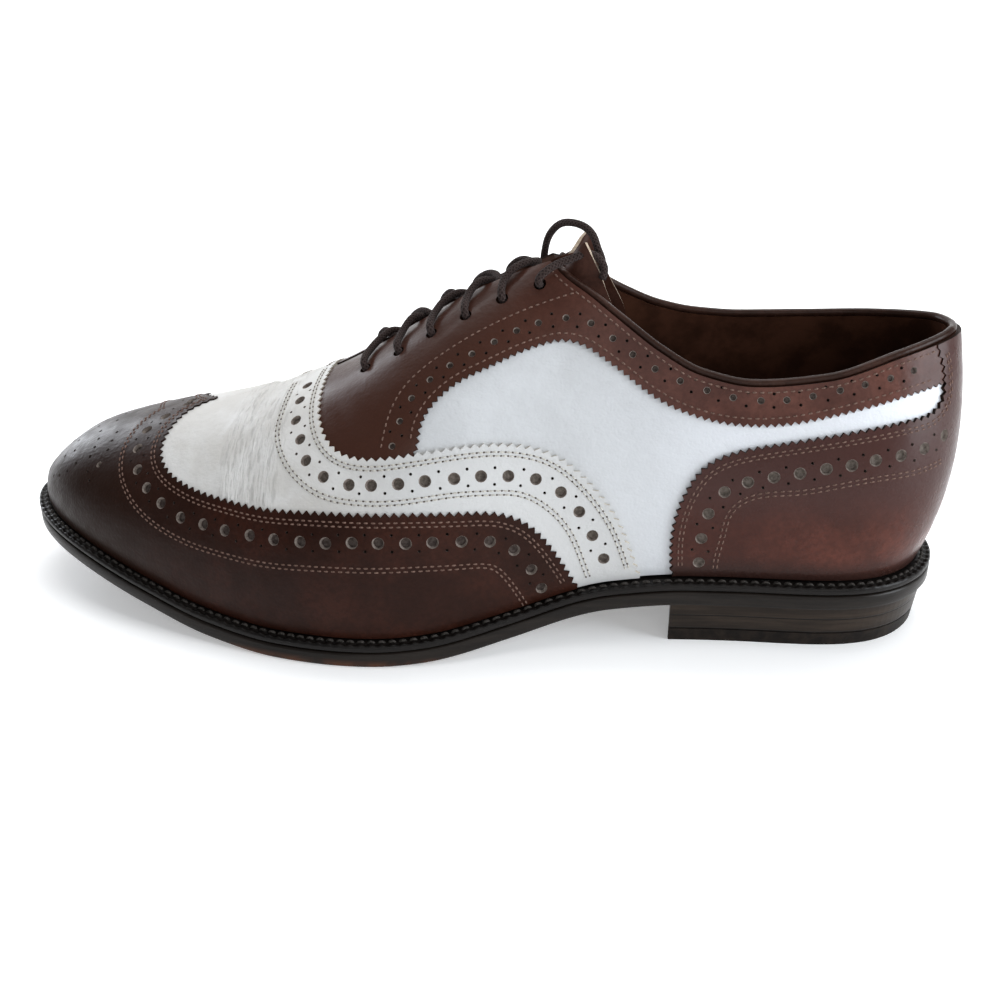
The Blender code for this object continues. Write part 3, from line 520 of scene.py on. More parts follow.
def gimped(run, side, gimp):
    """A zigzag along the run, its two ends left in place."""
    spots = paced(run, side, gimp.pitch / 2)
    swing = np.where(np.arange(len(spots)) % 2, 1.0, -1.0) * gimp.depth / 2
    swing[[0, -1]] = 0.0
    return beside(spots, side, swing)


def under_rim(run, side, slack=0.0):
    """The part of a run that lies under the upper's rim."""
    return run[run[:, 1] < rim(run[:, 0], side) - slack]


NET_TURNS = np.linspace(0, 1, 241)


def turns_between(start, end):
    """The net's own t values between two ends, both ends included."""
    low, high = min(start, end), max(start, end)
    slack = 0.3 * NET_TURNS[1]
    inner = NET_TURNS[(NET_TURNS > low + slack) & (NET_TURNS < high - slack)]
    run = np.concatenate([[low], inner, [high]])
    return run if start < end else run[::-1]


def along_rim(start, end, side, drop=0.0):
    ts = turns_between(start, end)
    return np.stack([ts, rim(ts, side) - drop], -1)


def along_level(start, end, up):
    ts = turns_between(start, end)
    return np.stack([ts, np.full(len(ts), up)], -1)


def upright(t, low, high, pitch=0.03):
    ups = np.linspace(low, high, max(2, int(abs(high - low) / pitch)))
    return np.stack([np.full(len(ups), t), ups], -1)


def joined(*runs):
    """One closed outline from runs that share their ends."""
    return np.concatenate([run[:-1] for run in runs])


def throat_end_turn():
    """The t of the rib whose ridge closes the throat."""
    ts = np.linspace(0.5, 0.7, 400)
    return float(np.interp(THROAT_END, rib("ridge_at", ts), ts))


# triangles over an outline

def inside(outline, spots):
    hit = np.zeros(len(spots), bool)
    for (ax, ay), (bx, by) in zip(outline, np.roll(outline, -1, axis=0)):
        if ay != by:
            spans = (ay > spots[:, 1]) != (by > spots[:, 1])
            hit ^= spans & (spots[:, 0] < (bx - ax) * (spots[:, 1] - ay) / (by - ay) + ax)
    return hit


CHART_SIZE = np.array([0.40, 0.10])        # rough metres per unit of t and of up


def net_inside(loops, spacing):
    """A regular net of spots inside the first loop and outside the rest, clear of them all."""
    across, upwards = (np.arange(0, 1 + 1e-9, spacing / size) for size in CHART_SIZE)
    spots = np.stack(np.meshgrid(across, upwards, indexing="ij"), -1).reshape(-1, 2) * CHART_SIZE
    spots = spots[inside(loops[0], spots)]
    for hole in loops[1:]:
        low, high = hole.min(0), hole.max(0)
        close = np.all((spots > low) & (spots < high), axis=1)
        spots = spots[~close]
    edge = np.concatenate(loops)
    tree = KDTree(len(edge))
    for i, (x, y) in enumerate(edge):
        tree.insert((x, y, 0.0), i)
    tree.balance()
    return np.array([spot for spot in spots if tree.find((*spot, 0.0))[2] > 0.45 * spacing]).reshape(-1, 2)


def chart(outline, holes, spacing):
    """Spots and triangles over an outline with holes."""
    loops = [np.asarray(loop) * CHART_SIZE for loop in (outline, *holes)]
    points, edges = [], []
    for loop in loops:
        first = len(points)
        points += [Vector(p) for p in loop]
        edges += [(first + k, first + (k + 1) % len(loop)) for k in range(len(loop))]
    points += [Vector(p) for p in net_inside(loops, spacing)]
    made = delaunay_2d_cdt(points, edges, [], 1, 1e-9)
    spots, triangles = np.array([tuple(v) for v in made[0]]), np.array(made[2])
    filled = np.ones(len(triangles), bool)
    middles = spots[triangles].mean(1)
    for hole in loops[1:]:
        close = np.nonzero(np.all((middles > hole.min(0)) & (middles < hole.max(0)), axis=1))[0]
        filled[close[inside(hole, middles[close])]] = False
    return spots / CHART_SIZE, triangles[filled]


# meshes and objects

def round_angles(count):
    return np.arange(count) * 2 * math.pi / count


def bands(first, rings, size, closed=False):
    """Faces between rings of size points that follow one another from the point numbered first."""
    faces = []
    for r in range(rings if closed else rings - 1):
        low, high = first + r * size, first + (r + 1) % rings * size
        faces += [(low + k, low + (k + 1) % size, high + (k + 1) % size, high + k) for k in range(size)]
    return faces


def new_object(name, points, faces, materials):
    mesh = bpy.data.meshes.new(name)
    mesh.from_pydata([tuple(map(float, p)) for p in points], [], [tuple(map(int, f)) for f in faces])
    for made in materials:
        mesh.materials.append(made)
    piece = bpy.data.objects.new(name, mesh)
    bpy.context.scene.collection.objects.link(piece)
    return piece


@contextmanager
def opened(piece):
    """The piece's mesh, open for changes."""
    work = bmesh.new()
    work.from_mesh(piece.data)
    yield work
    work.to_mesh(piece.data)
    work.free()


def weld(piece):
    with opened(piece) as work:
        bmesh.ops.remove_doubles(work, verts=work.verts, dist=WELD_REACH)
        bmesh.ops.dissolve_degenerate(work, edges=work.edges, dist=WELD_REACH)


def smooth(piece, angle=40):
    piece.data.shade_smooth()
    piece.data.set_sharp_from_angle(angle=math.radians(angle))


def laid_leather(name, height, outlines, materials, holes=None, relief=None, spacing=NET):
    """The upper face of a leather laid over the last."""
    points, faces = [], []
    for side, outline in outlines.items():
        spots, triangles = chart(outline, (holes or {}).get(side, ()), spacing)
        heights = np.full(len(spots), height)
        if relief:
            heights += relief(spots)
        first = len(points)
        points += list(on_skin(spots, side, heights))
        faces += list(first + (triangles[:, [0, 2, 1]] if side > 0 else triangles))
    piece = new_object(name, points, faces, materials)
    weld(piece)
    return piece


def thicken(piece, thickness, edge_slot, back_slot=0):
    """Thickness inwards, with other materials on the cut edges and the back, and crisp corners."""
    shell = piece.modifiers.new("thickness", "SOLIDIFY")
    shell.thickness = thickness
    shell.offset = -1
    shell.material_offset = back_slot
    shell.material_offset_rim = edge_slot
    whole = bpy.data.meshes.new_from_object(piece.evaluated_get(bpy.context.evaluated_depsgraph_get()))
    piece.modifiers.clear()
    piece.data = whole
    smooth(piece)


def circle(centre, side, radius, count):
    """A round loop in the chart about one spot."""
    angles = round_angles(count)
    spots = np.repeat(centre[None], count, axis=0)
    per_t, per_up = slopes(spots, side)
    first = unit(per_t)
    second = unit(np.cross(np.cross(per_t, per_up), first))
    outwards = np.cos(angles)[:, None] * first + np.sin(angles)[:, None] * second
    return shifted(spots, side, radius * outwards)


def pins_between(rows, side, spread):
    """Pinholes on both sides of the row, halfway between its holes."""
    spots = spots_at(rows)
    middle = (spots[1:] + spots[:-1]) / 2
    return np.concatenate([beside(middle, side, spread), beside(middle, side, -spread)])


def punched(rows, side, radius, spread):
    """Loops of a row of holes and of the pinholes beside it."""
    large = [circle(spot, side, radius, HOLE_SIDES) for spot in spots_at(rows)]
    small = [circle(spot, side, PIN, PIN_SIDES) for spot in pins_between(rows, side, spread)]
    return large, small


def eyelet_loops(side):
    return [circle(spot, side, EYELET_RADIUS, HOLE_SIDES) for spot in spots_at(EYELETS)]


def cups(name, layer, loops, depth, materials):
    """The inside of the holes: a wall of cut leather that narrows to a floor of the second material."""
    floor_at = max(layer.top - depth, QUARTER.top + SKIN_CLEAR)
    lip = layer.top - SKIN_CLEAR
    rings = ((1 + HOLE_LIP, lip), (1 - HOLE_LIP, lip), (HOLE_FLOOR, floor_at))
    points, faces, floors = [], [], []
    for side, side_loops in loops.items():
        for loop in side_loops:
            middle, count, first = loop.mean(0), len(loop), len(points)
            for size, height in rings:
                points += list(on_skin(middle + (loop - middle) * size, side, height))
            faces += bands(first, len(rings), count)
            floors.append(len(faces))
            faces.append(tuple(range(len(points) - count, len(points))))
    piece = new_object(name, points, faces, materials)
    for k in floors:
        piece.data.polygons[k].material_index = 1
    return piece


# stations along a small rod: place, share of its radius, and lift in radii
Station = namedtuple("Station", "place size lift")
ROD = [Station(*row) for row in (
    (0.0, 0.45, -1.0), (0.18, 0.95, -0.2), (0.5, 1.0, 0.15), (0.82, 0.95, -0.2), (1.0, 0.45, -1.0))]
ROD_SIDES = 6


def rods(name, spans, radius, made):
    """Small rounded rods from spans of starts, ends and ups, their ends let down along -ups."""
    starts, ends, ups = (np.concatenate(parts) for parts in zip(*spans))
    ahead = unit(ends - starts)
    across = unit(np.cross(ahead, ups))
    upward = np.cross(across, ahead)
    rings = []
    for row in ROD:
        middle = starts + (ends - starts) * row.place + upward * (row.lift * radius)
        ring = [middle + radius * row.size * (math.cos(a) * across + math.sin(a) * upward)
                for a in round_angles(ROD_SIDES)]
        rings.append(np.stack(ring, 1))
    faces = []
    per_rod = len(ROD) * ROD_SIDES
    for base in range(0, len(starts) * per_rod, per_rod):
        faces += bands(base, len(ROD), ROD_SIDES)
        faces.append(tuple(range(base, base + ROD_SIDES))[::-1])
        faces.append(tuple(range(base + per_rod - ROD_SIDES, base + per_rod)))
    piece = new_object(name, np.stack(rings, 1).reshape(-1, 3), faces, [made])
    piece.data.shade_smooth()
    return piece


def stitches(name, rows, made, length=STITCH_LENGTH, start=0.0):
    """Dashes along rows, which are (side, run, height over the last), shifted by start of a stitch."""
    spans = []
    for side, run, height in rows:
        spots = paced(run[run[:, 1] <= 1], side, STITCH)
        step = spots[1:] - spots[:-1]
        middle = (spots[1:] + spots[:-1]) / 2 + step * start
        half = step * length / STITCH / 2
        ups = on_skin(middle, side, 1.0) - on_skin(middle, side, 0.0)
        spans.append((on_skin(middle - half, side, height), on_skin(middle + half, side, height), ups))
    return rods(name, spans, THREAD, made)


def rows_beside(run, side, shifts, height, skip=(0, 0)):
    """Rows beside one run; skip counts the spots left out at its start and its end."""
    start, end = skip
    return [(side, beside(run, side, shift)[start:len(run) - end], height) for shift in shifts]


def frames_along(path):
    """Two directions across a path that turn as little as they can."""
    ahead = unit(np.gradient(path, axis=0))
    across = [np.cross(ahead[0], (0.0, 0.0, 1.0) if abs(ahead[0][2]) < 0.9 else (1.0, 0.0, 0.0))]
    for direction in ahead[1:]:
        across.append(across[-1] - direction * np.dot(across[-1], direction))
    across = unit(np.array(across))
    return across, np.cross(ahead, across)


def tube(name, paths, radius, made, sides=LACE_SIDES):
    """Round rods along paths in one mesh, with a UV map that runs round and along them."""
    points, faces, layout = [], [], []
    for path in paths:
        across, other = frames_along(path)
        reach = lengths(path)
        first = len(points)
        for place, a, b in zip(path, across, other):
            points += [place + radius * (math.cos(q) * a + math.sin(q) * b) for q in round_angles(sides)]
        faces += bands(first, len(path), sides)
        for near, far in zip(reach, reach[1:]):
            for k in range(sides):
                low, high = k / sides, (k + 1) / sides
                layout += [(low, near), (high, near), (high, far), (low, far)]
        for ring in (range(first, first + sides), range(len(points) - sides, len(points))):
            faces.append(tuple(ring))
            layout += [(0.0, 0.0)] * sides
    piece = new_object(name, points, faces, [made])
    around = piece.data.uv_layers.new(name="along")
    for corner, (u, v) in zip(around.data, layout):
        corner.uv = (u, v * 1000)
    with opened(piece) as work:
        bmesh.ops.recalc_face_normals(work, faces=work.faces)
    piece.data.shade_smooth()
    return piece


def smooth_route(knots, count):
    """Evenly counted points on a smooth curve through the knots."""
    knots = np.asarray(knots, float)
    reach = lengths(knots)
    spots = np.linspace(0, reach[-1], count)
    return np.stack([natural(reach, knots[:, axis], spots) for axis in range(3)], -1)


# materials

SPECULAR = 0.08                # these leathers, waxes and cottons are all duller than lacquer
MIX_FACTOR, MIX_FIRST, MIX_SECOND, MIX_RESULT = 0, 6, 7, 2     # a mix node's sockets for colour


class Graph:
    """A material with short calls for its nodes; numbers that hold all over go on the shader."""

    def __init__(self, name, colour, roughness, **fixed):
        self.material = bpy.data.materials.new(name)
        self.material.use_nodes = True
        self.nodes = self.material.node_tree.nodes
        self.shade("Base Color", (*colour, 1.0))
        self.shade("Roughness", roughness)
        self.shade("Specular IOR Level", SPECULAR)
        for key, value in fixed.items():
            self.shade(key.replace("_", " ").title(), value)
        self.place = self.nodes.new("ShaderNodeTexCoord").outputs["Object"]

    def feed(self, socket, value):
        """A link from another node, or a value of the socket's own."""
        if isinstance(value, bpy.types.NodeSocket):
            self.material.node_tree.links.new(value, socket)
        else:
            socket.default_value = value

    def shade(self, socket, value):
        self.feed(self.nodes["Principled BSDF"].inputs[socket], value)

    def node(self, kind, output, feeds, **settings):
        """The output of a new node with these feeds for its inputs."""
        made = self.nodes.new("ShaderNode" + kind)
        for key, value in settings.items():
            setattr(made, key, value)
        for socket, value in feeds.items():
            self.feed(made.inputs[socket], value)
        return made.outputs[output]

    def scaled(self, stretch):
        return self.node("Mapping", "Vector", {"Vector": self.place, "Scale": stretch})

    def noise(self, size, detail=3.0, rough=0.55, stretch=(1, 1, 1)):
        """Cloud whose patches are about size across, in metres."""
        return self.node("TexNoise", "Fac", {"Scale": 1 / size, "Detail": detail, "Roughness": rough,
                                             "Vector": self.scaled(stretch)})

    def cells(self, size):
        feeds = {"Scale": 1 / size, "Vector": self.scaled((1, 1, 1))}
        return self.node("TexVoronoi", "Distance", feeds, feature="SMOOTH_F1")

    def axis(self, name):
        return self.node("SeparateXYZ", name, {0: self.place})

    def between(self, value, low, high, start=0.0, end=1.0):
        """Value mapped so that low gives start and high gives end, softly."""
        feeds = {"Value": value, "From Min": low, "From Max": high, "To Min": start, "To Max": end}
        return self.node("MapRange", "Result", feeds, interpolation_type="SMOOTHSTEP")

    def maths(self, operation, first, second=0.0):
        return self.node("Math", 0, {0: first, 1: second}, operation=operation)

    def mix(self, factor, first, second):
        feeds = {MIX_FACTOR: factor}
        for socket, colour in ((MIX_FIRST, first), (MIX_SECOND, second)):
            feeds[socket] = (*colour, 1.0) if isinstance(colour, tuple) else colour
        return self.node("Mix", MIX_RESULT, feeds, data_type="RGBA")

    def bump(self, height, depth, under=None):
        """Relief of that depth, in metres, over the relief under it."""
        feeds = {"Distance": depth, "Height": height}
        if under is not None:
            feeds["Normal"] = under
        relief = self.node("Bump", "Normal", feeds)
        self.shade("Normal", relief)
        return relief


def darker(colour, by):
    return tuple(by * channel for channel in colour)


# a colour that takes over along an axis, from start to end
Drift = namedtuple("Drift", "axis start end colour")


def drifting(made, colour, drifts):
    for drift in drifts:
        colour = made.mix(made.between(made.axis(drift.axis), drift.start, drift.end), colour, drift.colour)
    return colour


def leather(name, dark, light, roughness, coat, drifts=()):
    """Smooth calf leather with a cloudy colour, fine pores and shallow pull lines."""
    made = Graph(name, light, roughness, coat_weight=coat, coat_roughness=0.22)
    clouds = made.between(made.noise(0.02, 4.0, 0.6), 0.35, 0.68)
    colour = made.mix(clouds, dark, light)
    mottle = made.between(made.noise(0.0016), 0.42, 0.62)
    colour = made.mix(made.maths("MULTIPLY", mottle, 0.35), colour, darker(dark, 0.72))
    made.shade("Base Color", drifting(made, colour, drifts))
    made.shade("Roughness", made.between(made.noise(0.006), 0.3, 0.7, roughness * 0.82, roughness * 1.25))
    pores = made.bump(made.cells(0.0009), PORE_DEPTH)
    made.bump(made.noise(0.0022, 4.0, 0.6, (0.5, 1, 1)), PORE_DEPTH * 2.2, pores)
    return made.material


def wrinkled(made, colour, shadow, bend, relief):
    """Deep dry wrinkles over the relief between two places along X, with painted shade and some grime in
    their valleys.
    """
    start, end = bend
    middle, half = (start + end) / 2, (end - start) / 2
    off_middle = made.maths("ABSOLUTE", made.maths("SUBTRACT", made.axis("X"), middle))
    here = made.between(off_middle, half, half / 2)
    wrinkles = made.noise(0.0022, 3.0, 0.5, (2.0, 0.30, 0.35))
    made.bump(made.maths("MULTIPLY", wrinkles, here), WRINKLE_DEPTH, relief)
    # the wrinkles' valleys get a darker colour: painted shade, with some grime
    painted_valley_shade = made.maths("MULTIPLY", made.between(wrinkles, 0.45, 0.36), here)
    return made.mix(made.maths("MULTIPLY", painted_valley_shade, 0.45), colour, darker(shadow, 0.62))


def white_leather(name, shadow, light, roughness, crease_depth, drifts=(), bend=()):
    """Painted white leather with fine dry creases; it may drift to other whites and to painted light, and
    wrinkle at a bend.
    """
    made = Graph(name, light, roughness, coat_weight=0.05, coat_roughness=0.4)
    clouds = made.between(made.noise(0.018, 4.0, 0.6), 0.38, 0.66)
    colour = made.mix(clouds, shadow, light)
    grime = made.between(made.noise(0.0035, 5.0, 0.7), 0.60, 0.78)
    colour = made.mix(made.maths("MULTIPLY", grime, 0.35), colour, darker(shadow, 0.80))
    colour = drifting(made, colour, drifts)
    pores = made.bump(made.cells(0.0008), 0.00005)
    fine = made.bump(made.noise(0.0022, 5.0, 0.62, (0.9, 1.0, 1.25)), crease_depth, pores)
    broad = made.bump(made.noise(0.0075, 3.0, 0.5, (0.8, 1.0, 1.3)), crease_depth * 1.6, fine)
    if bend:
        colour = wrinkled(made, colour, shadow, bend, broad)
    made.shade("Base Color", colour)
    return made.material


def plain(name, dark, light, roughness, patch, depth, **fixed):
    """A simple mottled surface."""
    made = Graph(name, light, roughness, **fixed)
    cloud = made.noise(patch, 4.0, 0.6)
    made.shade("Base Color", made.mix(made.between(cloud, 0.35, 0.65), dark, light))
    made.bump(cloud, depth)
    return made.material


def sole_edge(name, dark, worn, roughness):
    """Waxed edge with faint streaks along the sole, worn warmer near the floor."""
    made = Graph(name, dark, roughness, coat_weight=0.18, coat_roughness=0.22)
    streaks = made.noise(0.004, 5.0, 0.65, (0.18, 0.18, 3.0))
    colour = made.mix(made.between(streaks, 0.35, 0.7), darker(dark, 0.55), dark)
    wear = made.between(made.axis("Z"), 0.0030, 0.0004)
    patchy = made.maths("MULTIPLY", wear, made.between(made.noise(0.012), 0.35, 0.6))
    made.shade("Base Color", made.mix(patchy, colour, worn))
    made.shade("Roughness", made.between(streaks, 0.3, 0.7, roughness * 0.8, roughness * 1.3))
    made.bump(streaks, 0.00018)
    return made.material


def stacked_heel(name, dark, light):
    """Leather lifts, one over the other, with a thin line between them."""
    made = Graph(name, dark, 0.36, coat_weight=0.08, coat_roughness=0.2)
    inside_lift = made.maths("FRACT", made.maths("DIVIDE", made.axis("Z"), HEEL_LIFT))
    off_middle = made.maths("ABSOLUTE", made.maths("SUBTRACT", inside_lift, 0.5))
    line = made.between(off_middle, 0.42, 0.49)
    streaks = made.noise(0.005, 5.0, 0.65, (0.2, 0.2, 2.5))
    colour = made.mix(made.between(streaks, 0.35, 0.7), dark, light)
    made.shade("Base Color", made.mix(line, colour, darker(dark, 0.4)))
    cuts = made.bump(made.maths("SUBTRACT", 1.0, line), 0.0001)
    made.bump(streaks, 0.00012, cuts)
    return made.material


def cotton(name, dark, light):
    """Braided cotton lace: crossed plaits that follow the UV map, with a little fluff."""
    made = Graph(name, light, 0.85, sheen_weight=0.05, sheen_roughness=0.4)
    over_space = made.place
    made.place = made.nodes["Texture Coordinate"].outputs["UV"]
    slants = [made.node("TexWave", "Fac", {"Scale": 0.6, "Vector": made.scaled((6.0, slope, 1.0))},
                        wave_type="BANDS", bands_direction="DIAGONAL") for slope in (0.9, -0.9)]
    plait = made.maths("MAXIMUM", *slants)
    made.place = over_space
    fluff = made.noise(0.0006, 4.0, 0.7)
    made.shade("Base Color", made.mix(made.maths("MULTIPLY", plait, fluff), dark, light))
    woven = made.bump(plait, 0.00025)
    made.bump(fluff, 0.0003, woven)
    return made.material


# simple mottled surfaces
Mottled = namedtuple("Mottled", "name dark light roughness patch depth")
MOTTLED = {key: Mottled(*row) for key, row in {
    "white_edge": ("cut_white_leather", (0.40, 0.36, 0.30), (0.54, 0.50, 0.43), 0.7, 0.002, 0.0001),
    "brown_edge": ("cut_brown_leather", (0.012, 0.006, 0.004), (0.026, 0.012, 0.008), 0.6, 0.002, 0.0001),
    "backing": ("backing_and_needle_hole_shade", (0.085, 0.071, 0.060), (0.155, 0.131, 0.113), 0.8, 0.001, 0.0002),
    # backing darkened with painted shade, for the hole floors of the brown leathers
    "dark_backing": ("backing_with_painted_shade", (0.040, 0.030, 0.026), (0.085, 0.068, 0.060), 0.8, 0.001, 0.0002),
    "fibre": ("cut_fibre", (0.15, 0.124, 0.106), (0.26, 0.220, 0.195), 0.8, 0.001, 0.0002),
    "pit": ("pinhole_shadow", (0.006, 0.004, 0.003), (0.012, 0.008, 0.006), 0.9, 0.001, 0.0001),
    "raw_edge": ("raw_tongue_edge", (0.34, 0.27, 0.20), (0.48, 0.39, 0.31), 0.8, 0.001, 0.0002),
    "insole": ("sock_leather", (0.020, 0.010, 0.006), (0.040, 0.019, 0.012), 0.5, 0.01, 0.0003),
    "thread": ("tan_thread", (0.095, 0.055, 0.043), (0.200, 0.128, 0.102), 0.7, 0.0004, 0.0001),
    "pale_thread": ("cream_thread", (0.42, 0.40, 0.36), (0.58, 0.56, 0.51), 0.7, 0.0004, 0.0001),
    "rubber": ("heel_top_piece", (0.009, 0.007, 0.006), (0.018, 0.013, 0.010), 0.5, 0.004, 0.0002),
    "welt_thread": ("waxed_thread", (0.018, 0.016, 0.014), (0.060, 0.053, 0.048), 0.5, 0.0006, 0.0001)
}.items()}

# calf leathers; some drift to other tones along an axis
Calf = namedtuple("Calf", "name dark light roughness coat drifts")
CALF = {
    "brown": Calf("brown_calf", (0.0190, 0.0060, 0.0034), (0.034, 0.0103, 0.0060), 0.38, 0.05, [
        Drift("X", 0.17, 0.235, (0.0165, 0.0070, 0.0043))]),
    "counter": Calf("counter_calf", (0.050, 0.0140, 0.0090), (0.100, 0.0290, 0.0190), 0.30, 0.18, [
        Drift("Z", 0.036, 0.052, (0.050, 0.0205, 0.0170)),
        # darker towards the welt: painted shade where the upper meets the welt, with some burnish
        Drift("Z", 0.031, 0.022, (0.026, 0.0115, 0.0090))]),
    "collar": Calf("collar_calf", (0.062, 0.0230, 0.0170), (0.105, 0.0410, 0.0300), 0.34, 0.18, [
        Drift("X", 0.040, 0.110, (0.048, 0.0185, 0.0120))]),
    "binding": Calf("binding_leather", (0.024, 0.0105, 0.0070), (0.044, 0.020, 0.0140), 0.30, 0.10, []),
    "tongue": Calf("tongue_calf", (0.040, 0.0160, 0.0105), (0.064, 0.0260, 0.0180), 0.45, 0.02, [])}
# the white quarter turns lighter towards the heel: painted light, where more light falls on the back
BACK_PAINTED_LIGHT = Drift("X", 0.075, 0.015, (0.71, 0.73, 0.765))
BAND_WHITE = Drift("X", 0.150, 0.115, (0.535, 0.535, 0.530))


def make_materials():
    skins = {key: plain(*row) for key, row in MOTTLED.items()}
    skins.update({key: leather(*row) for key, row in CALF.items()})
    skins["white"] = white_leather("white_quarter", (0.515, 0.525, 0.536), (0.558, 0.570, 0.583), 0.52,
                                   0.00015, [BACK_PAINTED_LIGHT])
    skins["cream"] = white_leather("cream_vamp", (0.575, 0.560, 0.535), (0.665, 0.658, 0.642), 0.50,
                                   0.00018, [BAND_WHITE], VAMP_BEND)
    skins["lining"] = plain("lining_leather", (0.030, 0.012, 0.007), (0.060, 0.024, 0.014), 0.42, 0.012,
                            0.0002, coat_weight=0.04, coat_roughness=0.3)
    skins["sole"] = sole_edge("sole_edge", (0.016, 0.0120, 0.0095), (0.075, 0.028, 0.013), 0.36)
    skins["welt"] = sole_edge("welt_edge", (0.010, 0.008, 0.007), (0.03, 0.018, 0.012), 0.42)
    skins["heel"] = stacked_heel("stacked_heel", (0.018, 0.0130, 0.0100), (0.034, 0.0240, 0.0175))
    skins["lace"] = cotton("lace_cotton", (0.014, 0.0085, 0.0075), (0.085, 0.060, 0.056))
    return skins


# outlines of the leathers

def base_outline(side):
    """Feather, toe, ridge, throat, topline and back seam."""
    closed = throat_end_turn() + THROAT_STEP
    slit_end = closed - 2 * THROAT_STEP
    step = np.array([[closed, 1.0], [slit_end, rim_at(slit_end, side)]])
    return joined(along_level(0.0, 1.0, 0.0), upright(1.0, 0.0, 1.0), along_level(1.0, closed, 1.0), step,
                  along_rim(slit_end, 0.0, side), upright(0.0, rim_at(0.0, side), 0.0))


def wing_outline(side):
    edge = gimped(trace(WING_EDGE, side), side, WING_GIMP)
    return joined(edge, along_level(edge[-1, 0], 1.0, 1.0), upright(1.0, 1.0, 0.0),
                  along_level(1.0, edge[0, 0], 0.0))


def vamp_outline(side):
    """From its gimped edge to a plain one that lies under the wing."""
    edge = gimped(trace(VAMP_EDGE, side), side, VAMP_GIMP)
    front = paced(beside(trace(WING_EDGE, side), side, -LAP), side, NET)
    front[0, 1], front[-1, 1] = 0.0, 1.0
    front[-1, 0] = float(turn(WING_EDGE[-1].along)) + WING_PAST
    return joined(edge, along_level(edge[-1, 0], front[-1, 0], 1.0), front[::-1],
                  along_level(front[0, 0], edge[0, 0], 0.0))


def facing_outline(side):
    """From under the vamp's edge along the gimped edge to under the back strip, and back over the rim."""
    low = gimped(trace(FACING_EDGE, side), side, FACING_GIMP)
    back = trace([mark for mark in COUNTER_EDGE if mark.up > FACING_EDGE[-1].up], side, HIDDEN_PITCH)
    back = under_rim(beside(back, side, LAP / 2), side, slack=0.01)
    front = trace([mark for mark in VAMP_EDGE if mark.up > FACING_EDGE[0].up], side, HIDDEN_PITCH)
    front = under_rim(beside(front, side, -LAP), side, slack=0.01)
    over = along_rim(back[-1, 0], front[-1, 0], side)
    return np.concatenate([low, back, over, front[::-1]])


def counter_outline(side):
    edge = gimped(under_rim(trace(COUNTER_EDGE, side), side, slack=0.005), side, COUNTER_GIMP)
    over = along_rim(edge[-1, 0], 0.0, side)
    return np.concatenate([edge, over[:-1], upright(0.0, over[-1, 1], 0.0)[:-1],
                           along_level(0.0, edge[0, 0], 0.0)[:-1]])


def creases(spots):
    """Relief of the vamp where it bends: a wavy valley and the swell in front of it, row by row."""
    x = share(spots[:, 0]) * LAST_LENGTH
    up = spots[:, 1]
    relief = np.zeros(len(spots))
    for row in CREASES:
        wave = 0.0035 * np.sin(up * 17 + row.along * 90)
        centre = (row.along + row.lean * (up - row.low) + wave) * LAST_LENGTH
        reach = ease((up - row.low) / 0.10) * ease((row.high - up) / 0.08)
        valley = np.exp(-((x - centre) / row.width) ** 2)
        swell = np.exp(-((x - centre - 2.1 * row.width) / (1.2 * row.width)) ** 2)
        relief += reach * row.depth * (0.45 * swell - valley)
    return relief


# pieces

def dress(piece, slot, *nodes):
    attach(piece, "root")
    if nodes:
        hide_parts(*nodes)


def add_base(skins):
    holes = {side: eyelet_loops(side) for side in SIDES}
    outlines = {side: base_outline(side) for side in SIDES}
    made = [skins["white"], skins["lining"]]
    piece = laid_leather("quarters_and_lining", QUARTER.top, outlines, made, holes)
    thicken(piece, QUARTER.top - QUARTER.bottom, edge_slot=1, back_slot=1)
    dress(piece, "white_leather", "upper")


def add_overlay(overlay, skins, sides=SIDES, medallion=None, eyelets=(), relief=None, spacing=NET):
    """A leather with its perforations, the leather seen through them, with painted shade on the dark
    floors, and the painted shadow in its pinholes.
    """
    name, layer, slot = overlay.name, overlay.layer, overlay.slot
    large, small, cut = {}, {}, {}
    for side in sides:
        large[side], small[side] = punched(overlay.holes, side, overlay.radius, overlay.spread)
        if medallion:
            extra_large, extra_small = medallion(side)
            large[side] += extra_large
            small[side] += extra_small
        cut[side] = large[side] + small[side] + list(eyelets)
    outlines = {side: overlay.outline(side) for side in sides}
    made = [skins[overlay.skin], skins[overlay.edge]]
    piece = laid_leather(name, layer.top, outlines, made, cut, relief, spacing)
    thicken(piece, layer.top - layer.bottom, edge_slot=1)
    dress(piece, slot, overlay.node)
    seen = skins[overlay.floor]
    dress(cups(name + "_perforations", layer, large, HOLE_DEPTH, [skins["fibre"], seen]), slot)
    dress(cups(name + "_pinholes", layer, small, PIN_DEPTH, [seen, skins["pit"]]), slot)


def toe_medallion(side):
    """The two kinds of holes on the toe."""
    return ([circle(spot, side, MEDALLION_HOLE, MEDALLION_SIDES) for spot in spots_at(MEDALLION_HOLES)],
            [circle(spot, side, MEDALLION_PIN, PIN_SIDES) for spot in spots_at(MEDALLION_PINS)])


